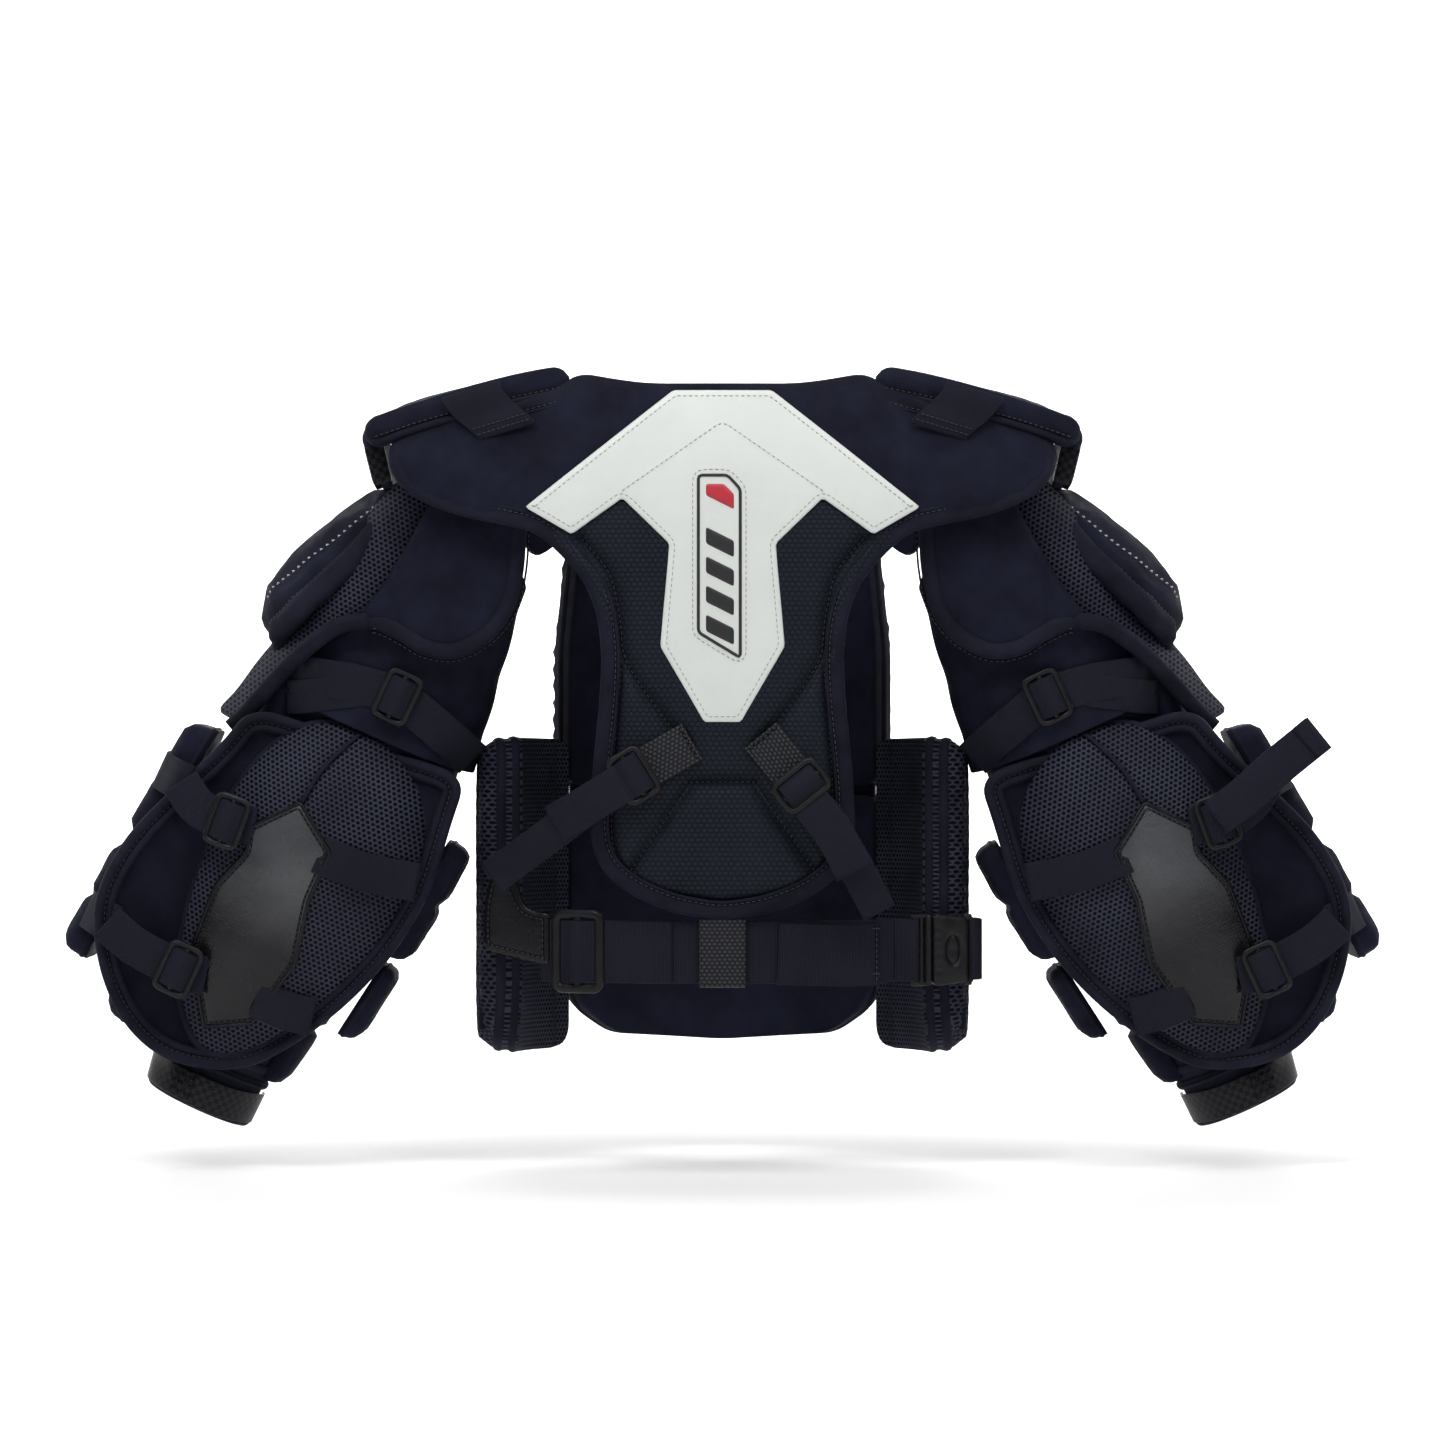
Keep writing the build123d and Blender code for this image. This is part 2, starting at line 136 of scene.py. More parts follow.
def inside(points, loop):
    """Which points are inside a closed loop."""
    x, y = points[:, 0], points[:, 1]
    hit = np.zeros(len(points), bool)
    a = loop
    b = np.roll(loop, -1, axis=0)
    for (x0, y0), (x1, y1) in zip(a, b):
        cross = (y0 > y) != (y1 > y)
        if cross.any():
            hit ^= cross & (x < (x1 - x0) * (y - y0) / (y1 - y0 + 1e-12) + x0)
    return hit


def anticlockwise(loop):
    """The closed loop, turned round if it runs clockwise."""
    x, y = loop[:, 0], loop[:, 1]
    area = (x * np.roll(y, -1) - np.roll(x, -1) * y).sum()
    return loop if area > 0 else loop[::-1]


def segment(start, end, step=4):
    """A straight line between two points, sampled about every step."""
    return resample(np.array([start, end], float), step, False)


def side_normals(path, closed):
    """Unit normals to the left of the path's direction, so inwards on an anticlockwise loop."""
    if closed:
        tangent = np.roll(path, -1, axis=0) - np.roll(path, 1, axis=0)
    else:
        tangent = np.gradient(path, axis=0)
    tangent = tangent / np.maximum(np.linalg.norm(tangent, axis=1), 1e-9)[:, None]
    return np.stack([-tangent[:, 1], tangent[:, 0]], axis=1)


def shifted(path, amount, closed=True):
    """The path moved sideways, inwards for a positive amount on an anticlockwise loop."""
    return path + side_normals(path, closed) * amount


def mirrored(points):
    """A half outline (u >= 0) and its mirror, as one closed outline."""
    return list(points) + [(-u, v) for u, v in reversed(points) if u > 0.01]


# ================================================================ mesh bits

class Bag:
    """Collects mesh bits in millimetres that become one object."""

    def __init__(self):
        self.verts, self.faces, self.uvs, self.held, self.count = [], [], [], [], 0
        self.track = None            # the near black strips under any stitches, painted shade along the sewn channels

    def add(self, verts, faces, uvs, held=None):
        """uvs holds one (u, v) pair per face corner; held says which points a simulation keeps."""
        self.verts.append(np.asarray(verts, float))
        self.held.append(np.ones(len(verts), bool) if held is None else held)
        self.faces += [tuple(i + self.count for i in face) for face in faces]
        self.uvs.append(np.asarray(uvs, float))
        self.count += len(verts)

    def soften(self, pressure=4.0, growth=0.02, limit=4.0):
        """Lets the cover swell and crease as cloth, sewn down at its edges and seams."""
        trial = self.make("cloth_trial", NYLON)
        held = np.concatenate(self.held)
        group = trial.vertex_groups.new(name="held")
        group.add(np.flatnonzero(held).tolist(), 1.0, "REPLACE")
        cloth = trial.modifiers.new("cloth", "CLOTH")
        settings = cloth.settings
        settings.quality = 5
        settings.mass = 0.3
        settings.vertex_group_mass = "held"
        settings.use_pressure = True
        settings.uniform_pressure_force = pressure
        settings.shrink_min = -growth
        settings.effector_weights.gravity = 0
        scene = bpy.context.scene
        for step in range(1, 21):
            scene.frame_set(step)
        moved = trial.evaluated_get(bpy.context.evaluated_depsgraph_get()).data
        after = np.empty(len(moved.vertices) * 3)
        moved.vertices.foreach_get("co", after)
        before = np.vstack(self.verts)
        shift = after.reshape(-1, 3) / MM - before
        size = np.linalg.norm(shift, axis=1)
        shift *= (np.minimum(size, limit) / np.maximum(size, 1e-6))[:, None]
        self.verts = [before + shift]
        scene.frame_set(1)
        mesh = trial.data
        bpy.data.objects.remove(trial)
        bpy.data.meshes.remove(mesh)

    def make(self, name, material, side=RIGHT, smooth=True):
        verts = np.vstack(self.verts) * MM
        faces = self.faces
        uvs = np.vstack(self.uvs) * MM
        if side == LEFT:
            verts = verts * (-1, 1, 1)
        mesh = bpy.data.meshes.new(name)
        mesh.from_pydata(verts.tolist(), [], faces)
        layer = mesh.uv_layers.new(name="uv")
        layer.data.foreach_set("uv", uvs.ravel())
        if side == LEFT:
            mesh.flip_normals()
        mesh.polygons.foreach_set("use_smooth", [smooth] * len(faces))
        mesh.materials.append(material)
        mesh.update()
        obj = bpy.data.objects.new(name, mesh)
        bpy.context.collection.objects.link(obj)
        return obj


def grid_bit(grid, close_n=False, close_m=True, caps=True, s=None, t=None):
    """Verts, faces and corner uvs of an (n, m) grid of points."""
    n, m = grid.shape[:2]
    if s is None:
        middle = grid.mean(1)
        s = np.concatenate([[0], np.cumsum(np.linalg.norm(np.diff(middle, axis=0), axis=1))])
    if t is None:
        ring = np.vstack([grid[0], grid[0][:1]])
        t = np.concatenate([[0], np.cumsum(np.linalg.norm(np.diff(ring, axis=0), axis=1))])
    s = list(s) + [s[-1] + (s[-1] - s[-2])]
    faces, uvs = [], []
    for i in range(n if close_n else n - 1):
        for j in range(m if close_m else m - 1):
            i2, j2 = (i + 1) % n, (j + 1) % m
            faces.append((i * m + j, i2 * m + j, i2 * m + j2, i * m + j2))
            uvs += [(s[i], t[j]), (s[i + 1], t[j]), (s[i + 1], t[j + 1]), (s[i], t[j + 1])]
    if caps and close_m and not close_n:
        first = tuple(range(m))
        last = tuple((n - 1) * m + j for j in reversed(range(m)))
        faces += [first, last]
        uvs += [(s[0], t[j]) for j in range(m)] + [(s[n - 1], t[j]) for j in reversed(range(m))]
    return grid.reshape(-1, 3), faces, uvs


def flat_profile(width, thickness, low=0.0, soften=0.45, steps=3):
    """A rounded flat section as (across, out) pairs, anticlockwise, standing on low."""
    r = thickness * soften
    out = []
    corners = [(width / 2 - r, low + r, -90), (width / 2 - r, low + thickness - r, 0),
               (-width / 2 + r, low + thickness - r, 90), (-width / 2 + r, low + r, 180)]
    for x, y, start in corners:
        for k in range(steps + 1):
            angle = math.radians(start + 90 * k / steps)
            out.append((x + r * math.cos(angle), y + r * math.sin(angle)))
    return out


def tube_profile(width, thickness, low=0.0, count=10):
    """An oval section as (across, out) pairs, anticlockwise, centred thickness / 2 above low."""
    out = []
    for k in range(count):
        angle = 2 * math.pi * k / count
        out.append((width / 2 * math.cos(angle), low + thickness / 2 * (1 + math.sin(angle))))
    return out


def along_surface(path, place, profile, closed=False):
    """A section swept along a path that lies on a place surface."""
    normal = side_normals(path, closed)
    grid = np.empty((len(path), len(profile), 3))
    for j, (across, out) in enumerate(profile):
        spot = path + normal * across
        grid[:, j] = place(*spot.T, np.full(len(path), out))
    return grid_bit(grid, close_n=closed)


def unit_rows(vectors):
    return vectors / np.linalg.norm(vectors, axis=1)[:, None]


def sweep_axes(path, facing):
    """The across and out directions along a path in space, out kept towards facing."""
    facing = np.broadcast_to(np.asarray(facing, float), path.shape)
    tangent = unit_rows(np.gradient(path, axis=0))
    out = unit_rows(facing - tangent * (facing * tangent).sum(1)[:, None])
    return np.cross(out, tangent), out


def in_space(path, facing, profile):
    """A section swept along a path in space, its out direction kept towards facing."""
    path = np.asarray(path, float)
    across, out = sweep_axes(path, facing)
    grid = np.stack([path + across * a + out * o for a, o in profile], axis=1)
    return grid_bit(grid)


def stitches(bag, path, place, out, closed=False, pitch=4.6, length=3.3, thick=0.8):
    """Single stitches along a path on a place surface, each a small seed-shaped thread, with a near black
    strip under the line as painted shade of the seam.
    """
    line = resample(path, pitch, closed)
    count = len(line) if closed else len(line) - 1
    if len(line) > 3:
        if bag.track is None:
            bag.track = Bag()
        # painted shade: a near black strip sunk under the stitches
        shade_section = flat_profile(2.3 * max(thick, 0.8), 1.2, out - 1.15)
        bag.track.add(*along_surface(line, place, shade_section, closed=closed))
    faces = []
    for ring in range(2):
        for k in range(4):
            a, b = ring * 4 + k, ring * 4 + (k + 1) % 4
            faces.append((a, b, b + 4, a + 4))
    faces += [(3, 2, 1, 0), (8, 9, 10, 11)]
    corners = sum(len(f) for f in faces)
    for i in range(count):
        a, b = line[i], line[(i + 1) % len(line)]
        gap = np.linalg.norm(b - a)
        if gap < 1e-6:
            continue
        d = (b - a) / gap
        n = np.array([-d[1], d[0]])
        middle = (a + b) / 2
        verts = []
        for offset, half, lift in ((-0.5, 0.35, -0.3), (0.0, 0.5, 0.35), (0.5, 0.35, -0.3)):
            c = middle + d * offset * length
            for sign_n, sign_o in ((-1, -1), (1, -1), (1, 1), (-1, 1)):
                p = c + n * sign_n * half * thick
                verts.append((p[0], p[1], out + lift * thick + sign_o * half * thick))
        verts = np.array(verts)
        bag.add(place(verts[:, 0], verts[:, 1], verts[:, 2]), faces, np.zeros((corners, 2)))


def pad_bit(loop, place, height, step=5.0, seams=(), under=0.0):
    """A closed pad on a place surface.

    height(uv, edge) gives the top's height from the points and their distance to the edge.
    Extra points follow the edge and each seam, so that both stay crisp.
    """
    loop = anticlockwise(loop)
    low, high = loop.min(0), loop.max(0)
    rows = np.arange(low[1], high[1] + step, step * 0.87)
    cols = np.arange(low[0], high[0] + step, step)
    points = np.array([(x + (i % 2) * step / 2, y) for i, y in enumerate(rows) for x in cols])
    points = points[inside(points, loop)]
    extra = [shifted(loop, inset) for inset in (1.2, 3.2)]
    for seam in seams:
        for offset in (-2.2, 0.0, 2.2):
            extra.append(shifted(resample(seam, 3.0, False), offset, closed=False))
    extra = np.vstack(extra)
    extra = extra[inside(extra, loop)]
    extra = extra[distance(extra, loop, True) > 0.9]
    keep = distance(points, loop, True) > 3.2 + step * 0.5
    for seam in seams:
        keep &= distance(points, seam) > 2.2 + step * 0.4
    interior = np.vstack([extra, points[keep]])
    every = np.vstack([loop, interior])
    edges = [(i, (i + 1) % len(loop)) for i in range(len(loop))]
    coords, _, faces, _, _, _ = delaunay_2d_cdt([Vector(p) for p in every], edges, [], 1, 0.05)
    uv = np.array([(c[0], c[1]) for c in coords])
    edge = distance(uv, loop, True)
    top = place(uv[:, 0], uv[:, 1], height(uv, edge))
    bottom = place(uv[:, 0], uv[:, 1], np.full(len(uv), float(under)))
    n = len(uv)
    use = {}
    for face in faces:
        for a, b in zip(face, list(face[1:]) + [face[0]]):
            use[(a, b)] = True
    rim = [(a, b) for a, b in use if (b, a) not in use]
    all_faces = [tuple(f) for f in faces]
    all_faces += [tuple(i + n for i in reversed(f)) for f in faces]
    all_faces += [(b, a, a + n, b + n) for a, b in rim]
    flat = np.vstack([uv, uv])
    corners = flat[[i for f in all_faces for i in f]]
    sewn = edge < 5
    for seam in seams:
        sewn |= distance(uv, seam) < 2.5
    return np.vstack([top, bottom]), all_faces, corners, np.concatenate([sewn, np.ones(n, bool)])


def crown(thickness, radius, bulge=0.0, spread=30.0, edge_height=1.5):
    """A pad's height from its distance to the edge: a rounded edge, then a soft bulge."""
    def height(edge):
        t = np.clip(edge / radius, 0, 1)
        body = edge_height + (thickness - edge_height) * np.sqrt(1 - (1 - t) ** 2)
        return body + bulge * (1 - np.exp(-edge / spread))
    return height


def groove(uv, seams, depth, width):
    """How far sewn lines pull the surface down."""
    total = np.zeros(len(uv))
    for seam in seams:
        total = np.maximum(total, depth * np.exp(-(distance(uv, seam) / width) ** 2))
    return total


def quilted(profile, seams, depth, width, least=2):
    """A pad's height with its seams pulled down, never lower than least."""
    def height(uv, edge):
        return np.maximum(profile(edge) - groove(uv, seams, depth, width), least)
    return height


def ride(obj, body, slot, *replaced):
    """Hangs a finished piece on the body it rides on and hides the CAD nodes it stands for; slot, its finish,
    is not used.
    """
    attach(obj, body)
    if replaced:
        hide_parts(*replaced)
    return obj


# ================================================================ materials

class Shader:
    """A small wrapper that builds one Principled material from nodes."""

    def __init__(self, name, roughness, specular=0.4, sheen=0.0, coat=0.0, coat_roughness=0.2):
        self.material = bpy.data.materials.new(name)
        self.material.use_nodes = True
        self.tree = self.material.node_tree
        self.tree.nodes.clear()
        self.out = self.node("ShaderNodeOutputMaterial")
        self.bsdf = self.node("ShaderNodeBsdfPrincipled")
        self.link(self.bsdf.outputs["BSDF"], self.out.inputs["Surface"])
        for socket, value in (("Roughness", roughness), ("Specular IOR Level", specular),
                              ("Sheen Weight", sheen), ("Sheen Roughness", 0.45),
                              ("Coat Weight", coat), ("Coat Roughness", coat_roughness)):
            self.bsdf.inputs[socket].default_value = value
        coords = self.node("ShaderNodeTexCoord")
        self.object_coords = coords.outputs["Object"]
        split = self.node("ShaderNodeSeparateXYZ")
        self.uv = coords.outputs["UV"]
        self.link(self.uv, split.inputs[0])
        self.u, self.v = split.outputs["X"], split.outputs["Y"]

    def node(self, kind):
        return self.tree.nodes.new(kind)

    def link(self, source, target):
        self.tree.links.new(source, target)

    def feed(self, value, target):
        """Sets a socket from a number or links it from another socket."""
        if hasattr(value, "is_linked"):
            self.link(value, target)
        else:
            target.default_value = value

    def math(self, operation, a, b=0.0, c=0.0, clamp=False):
        node = self.node("ShaderNodeMath")
        node.operation = operation
        node.use_clamp = clamp
        for socket, value in zip(node.inputs, (a, b, c)):
            self.feed(value, socket)
        return node.outputs[0]

    def noise(self, scale, detail=2.0, roughness=0.5, coords=None):
        node = self.node("ShaderNodeTexNoise")
        self.link(coords or self.object_coords, node.inputs["Vector"])
        node.inputs["Scale"].default_value = scale
        node.inputs["Detail"].default_value = detail
        node.inputs["Roughness"].default_value = roughness
        return node.outputs["Fac"]

    def voronoi(self, scale, feature="F1", coords=None, output="Distance", randomness=1.0):
        node = self.node("ShaderNodeTexVoronoi")
        node.feature = feature
        self.link(coords or self.object_coords, node.inputs["Vector"])
        node.inputs["Scale"].default_value = scale
        node.inputs["Randomness"].default_value = randomness
        return node.outputs[output]

    def remap(self, value, low, high, to_low, to_high):
        node = self.node("ShaderNodeMapRange")
        for socket, number in zip(node.inputs, (value, low, high, to_low, to_high)):
            self.feed(number, socket)
        return node.outputs[0]

    def wave(self, coordinate, pitch, phase=0.0):
        """A sine of a UV coordinate, 0 to 1, once per pitch in metres."""
        turn = self.math("MULTIPLY_ADD", coordinate, 2 * math.pi / pitch, phase)
        return self.math("MULTIPLY_ADD", self.math("SINE", turn), 0.5, 0.5)

    def cell(self, pitch_u, pitch_v, stagger=0.5):
        """The place inside a staggered cell, each from -0.5 to 0.5."""
        y = self.math("DIVIDE", self.v, pitch_v)
        row = self.math("FLOOR", y)
        odd = self.math("MODULO", self.math("ABSOLUTE", row), 2.0)
        x = self.math("ADD", self.math("DIVIDE", self.u, pitch_u), self.math("MULTIPLY", odd, stagger))
        fx = self.math("SUBTRACT", self.math("FRACT", x), 0.5)
        fy = self.math("SUBTRACT", self.math("FRACT", y), 0.5)
        return fx, fy

    def holes(self, pitch_u, pitch_v, size_u, size_v):
        """1 inside the staggered oval holes, 0 between them."""
        fx, fy = self.cell(pitch_u, pitch_v)
        x = self.math("DIVIDE", fx, size_u)
        y = self.math("DIVIDE", fy, size_v)
        r = self.math("SQRT", self.math("ADD", self.math("MULTIPLY", x, x), self.math("MULTIPLY", y, y)))
        return self.remap(r, 0.75, 1.15, 1.0, 0.0)

    def weave(self, pitch_u, pitch_v):
        """A plain weave's height: over and under in a checkerboard of threads."""
        a = self.wave(self.u, pitch_u * 2)
        b = self.wave(self.v, pitch_v * 2)
        mixed = self.math("ABSOLUTE", self.math("SUBTRACT", a, b))
        threads = self.math("MULTIPLY", self.wave(self.u, pitch_u), self.wave(self.v, pitch_v))
        return self.math("ADD", self.math("MULTIPLY", mixed, 0.6), self.math("MULTIPLY", threads, 0.4))

    def mix(self, factor, a, b):
        """Mixes two colours."""
        node = self.node("ShaderNodeMix")
        node.data_type = "RGBA"
        self.feed(factor, node.inputs["Factor"])
        for name, value in (("A", a), ("B", b)):
            socket = [s for s in node.inputs if s.name == name and s.type == "RGBA"][0]
            self.feed(value if hasattr(value, "is_linked") else (*value, 1.0), socket)
        return [s for s in node.outputs if s.type == "RGBA"][0]

    def color(self, value):
        self.link(value, self.bsdf.inputs["Base Color"])

    def roughness(self, value):
        self.link(value, self.bsdf.inputs["Roughness"])

    def bump(self, *layers):
        """Stacks (height socket, depth in metres) layers of relief."""
        normal = None
        for height, depth in layers:
            node = self.node("ShaderNodeBump")
            node.inputs["Strength"].default_value = 1.0
            node.inputs["Distance"].default_value = depth
            self.link(height, node.inputs["Height"])
            if normal is not None:
                self.link(normal, node.inputs["Normal"])
            normal = node.outputs["Normal"]
        self.link(normal, self.bsdf.inputs["Normal"])


def nylon(name="black_nylon", tone=1.0, tint=(0.0068, 0.0077, 0.0162)):
    """Matt woven nylon with faint creases, lint and lighter rubbed places."""
    s = Shader(name, 0.70, specular=0.07, sheen=0.005)
    dark = tuple(c * 0.62 * tone for c in tint)
    light = tuple(c * 1.75 * tone for c in tint)
    cloud = s.noise(22, 4, 0.6)
    base = s.mix(s.remap(cloud, 0.3, 0.75, 0.0, 1.0), dark, light)
    weave = s.weave(0.00055, 0.00055)
    # painted highlight: the tops of the woven threads are painted lighter
    threads = s.mix(s.remap(weave, 0.2, 0.9, 0.0, 0.35), base, tuple(c * 2.2 * tone for c in tint))
    s.color(threads)
    s.roughness(s.remap(s.noise(60, 3), 0.3, 0.7, 0.62, 0.82))
    s.bump((s.noise(34, 3, 0.55), 0.0012), (weave, 0.00012))
    return s.material


def scale_nylon():
    """The spine pad's cover: nylon embossed with small scales."""
    s = Shader("textured_nylon", 0.58, specular=0.09, sheen=0.005)
    fx, fy = s.cell(0.0048, 0.0038)
    dome = s.math("SQRT", s.math("ADD", s.math("MULTIPLY", fx, fx), s.math("MULTIPLY", fy, fy)))
    scale = s.remap(dome, 0.30, 0.52, 1.0, 0.0)
    cloud = s.remap(s.noise(18, 3), 0.3, 0.75, 0.0, 1.0)
    base = s.mix(cloud, (0.0048, 0.0066, 0.0105), (0.0082, 0.0112, 0.0165))
    # painted highlight: each embossed scale is painted lighter towards its middle
    s.color(s.mix(s.math("MULTIPLY", scale, 0.45), base, (0.019, 0.024, 0.034)))
    s.roughness(s.remap(scale, 0.0, 1.0, 0.78, 0.52))
    s.bump((s.noise(30, 3), 0.0009), (scale, 0.00045), (s.weave(0.0006, 0.0006), 0.00008))
    return s.material


def mesh_fabric():
    """Knitted spacer mesh: staggered oval holes through a soft face."""
    s = Shader("spacer_mesh", 0.66, specular=0.10, sheen=0.01)
    hole = s.holes(0.0044, 0.0036, 0.36, 0.39)
    cloud = s.remap(s.noise(20, 3), 0.3, 0.75, 0.0, 1.0)
    face = s.mix(cloud, (0.021, 0.0232, 0.042), (0.041, 0.045, 0.074))
    # painted shade: the holes are painted near black, as the shade inside them
    s.color(s.mix(hole, face, (0.0003, 0.0003, 0.0006)))
    knit = s.wave(s.u, 0.0009)
    s.bump((s.noise(34, 2), 0.0008), (s.math("SUBTRACT", 1.0, hole), 0.0014), (knit, 0.0001))
    return s.material


def elastic(name, pitch, depth, tone):
    """Elastic webbing with ribs across it and a firmer edge."""
    s = Shader(name, 0.64, specular=0.06, sheen=0.005)
    rib = s.wave(s.u, pitch)
    cross = s.wave(s.v, 0.0011)
    height = s.math("MULTIPLY", rib, s.math("MULTIPLY_ADD", cross, 0.35, 0.65))
    cloud = s.remap(s.noise(26, 3), 0.3, 0.75, 0.0, 1.0)
    base = s.mix(cloud, (0.0042 * tone, 0.0045 * tone, 0.0080 * tone),
                 (0.0072 * tone, 0.0078 * tone, 0.0130 * tone))
    # painted highlight: the tops of the ribs are painted lighter
    s.color(s.mix(s.math("MULTIPLY", height, 0.8), base, (0.024 * tone, 0.026 * tone, 0.041 * tone)))
    s.bump((s.noise(40, 2), 0.0006), (height, depth))
    return s.material


def chunky_webbing():
    """Coarse box-weave webbing."""
    s = Shader("coarse_webbing", 0.6, specular=0.22)
    fx, fy = s.cell(0.0040, 0.0030)
    across = s.math("SUBTRACT", 1.0, s.math("MULTIPLY", s.math("MULTIPLY", fx, fx), 4.0))
    down = s.math("SUBTRACT", 1.0, s.math("MULTIPLY", s.math("MULTIPLY", fy, fy), 4.0))
    lump = s.math("MULTIPLY", across, down)
    # painted shade and highlight: the gaps between the woven lumps are painted near black and the lumps' tops
    # lighter
    s.color(s.mix(lump, (0.0005, 0.0005, 0.0008), (0.042, 0.044, 0.056)))
    s.bump((lump, 0.0011), (s.wave(s.v, 0.0005), 0.0001))
    return s.material


def white_leather():
    """White synthetic leather with a fine grain, faint creases and grey wear."""
    s = Shader("white_leather", 0.46, specular=0.45, coat=0.08, coat_roughness=0.35)
    grain = s.voronoi(900, "SMOOTH_F1")
    cloud = s.remap(s.noise(9, 4, 0.6), 0.35, 0.75, 0.0, 1.0)
    base = s.mix(cloud, (0.66, 0.685, 0.655), (0.60, 0.625, 0.60))
    scuff = s.remap(s.noise(60, 6, 0.7), 0.62, 0.78, 0.0, 0.18)
    s.color(s.mix(scuff, base, (0.47, 0.48, 0.46)))
    s.roughness(s.remap(s.noise(70, 3), 0.3, 0.7, 0.38, 0.55))
    s.bump((s.noise(26, 4, 0.6), 0.0007), (grain, 0.00010))
    return s.material


def plain_leather(name, color, roughness=0.42):
    s = Shader(name, roughness, specular=0.5)
    cloud = s.remap(s.noise(40, 3), 0.3, 0.75, 0.0, 1.0)
    s.color(s.mix(cloud, tuple(c * 0.9 for c in color), tuple(min(1.0, c * 1.1) for c in color)))
    s.bump((s.voronoi(900, "SMOOTH_F1"), 0.0001))
    return s.material


def vinyl(name="gloss_vinyl", coat=0.06, checks=0.0016, specular=0.16, highlight_band=None):
    """Black vinyl printed with a small square emboss, glossier where it is stretched; given a v band, its
    colour is lightened over that band and above it as a painted highlight, patchy with noise.
    """
    s = Shader(name, 0.24, specular=specular, coat=coat, coat_roughness=0.2)
    cloud = s.remap(s.noise(25, 3), 0.3, 0.75, 0.0, 1.0)
    base = s.mix(cloud, (0.0035, 0.0035, 0.0052), (0.006, 0.006, 0.008))
    # painted highlight: the colour grows lighter from the low end of the v band to its high end and stays
    # light above it, patchy with noise
    if highlight_band:
        painted_highlight = s.math("MULTIPLY", s.remap(s.v, highlight_band[0], highlight_band[1], 0.0, 1.0),
                      s.remap(s.noise(16, 3), 0.25, 0.7, 0.35, 1.0))
        base = s.mix(painted_highlight, base, (0.062, 0.064, 0.070))
    s.color(base)
    s.roughness(s.remap(s.noise(45, 4), 0.3, 0.7, 0.20, 0.32))
    square = s.math("MULTIPLY", s.wave(s.u, checks), s.wave(s.v, checks))
    s.bump((s.noise(38, 4, 0.6), 0.0016), (square, 0.00014))
    return s.material


def carbon(name="carbon_print"):
    """Vinyl with a carbon-cloth print, used on the cap corners and cuff straps."""
    s = Shader(name, 0.36, specular=0.12, coat=0.03, coat_roughness=0.25)
    fx, _ = s.cell(0.008, 0.004, 0.5)
    lit = s.remap(fx, -0.1, 0.1, 0.0, 1.0)
    s.color(s.mix(lit, (0.0025, 0.0025, 0.0034), (0.012, 0.012, 0.016)))
    s.bump((s.noise(40, 3), 0.0008), (s.wave(s.u, 0.001), 0.0001))
    return s.material


def moulded(name="moulded_plastic"):
    """Black moulded acetal, a little scuffed."""
    s = Shader(name, 0.36, specular=0.2)
    scratch = s.noise(900, 2, 0.7)
    cloud = s.remap(s.noise(60, 4), 0.3, 0.75, 0.0, 1.0)
    base = s.mix(cloud, (0.0050, 0.0050, 0.0062), (0.0100, 0.0100, 0.0120))
    s.color(s.mix(s.remap(scratch, 0.6, 0.8, 0.0, 0.3), base, (0.035, 0.035, 0.038)))
    s.roughness(s.remap(s.noise(120, 4), 0.3, 0.7, 0.28, 0.5))
    s.bump((scratch, 0.00003), (s.noise(25, 2), 0.0003))
    return s.material


def thread(name, color):
    s = Shader(name, 0.55, specular=0.4)
    twist = s.wave(s.u, 0.0004)
    s.color(s.mix(s.noise(800, 2), tuple(c * 0.8 for c in color), tuple(c * 1.15 for c in color)))
    s.bump((twist, 0.00005))
    return s.material


NYLON = nylon()
NYLON_DEEP = nylon("lining_nylon", 0.7)
BINDING = nylon("binding_nylon", 1.15, (0.0068, 0.0074, 0.0135))
# near black nylon for the strips under the stitches, painted shade along the seams
SEAM_SHADE = nylon("seam_shadow", 0.22)
SCALES = scale_nylon()
MESH = mesh_fabric()
ELASTIC = elastic("elastic_webbing", 0.0013, 0.0002, 1.0)
COARSE = chunky_webbing()
WHITE = white_leather()
RED = plain_leather("red_leather", (0.42, 0.02, 0.035))
INK = plain_leather("black_leather", (0.010, 0.010, 0.012), 0.5)
VINYL = vinyl()
# the elbow patch's vinyl: its upper part is painted lighter as a highlight
VINYL_PAINTED_HIGHLIGHT = vinyl("vinyl_painted_highlight", 0.1, 0.0026, 0.22, (-0.400, -0.350))
CARBON = carbon()
PLASTIC = moulded()
BLACK_THREAD = thread("black_thread", (0.024, 0.026, 0.036))
LIGHT_THREAD = thread("light_thread", (0.42, 0.43, 0.44))
GREY_THREAD = thread("grey_thread", (0.20, 0.215, 0.21))


# ================================================================ back and yoke

BACK_LEVELS = (8, -30, -70, -150, -250, -350, -445)
BACK_FACES = (-84, -96, -106, -112, -112, -107, -99)
BACK_CURVE = np.polyfit(BACK_LEVELS, BACK_FACES, 4)
BACK_BOW = 1 / 3200          # how fast the back falls away to the sides
PAD = 12.0                   # thickness of the back's padding
FINE = {"pitch": 4.6, "length": 2.6, "thick": 0.5}          # the white leather's stitches

ARMHOLE = [(146, -124), (126, -143), (110, -161), (99, -186), (95, -220), (97, -258),
           (103, -316), (105, -366), (96, -392), (72, -411), (38, -425), (0, -431)]
YOKE_TOP = [(0, -5), (60, -5), (88, -1), (114, 4)]
WING = [(130, -8), (200, -26), (250, -42), (267, -54), (263, -80), (240, -99), (207, -111), (170, -118)]


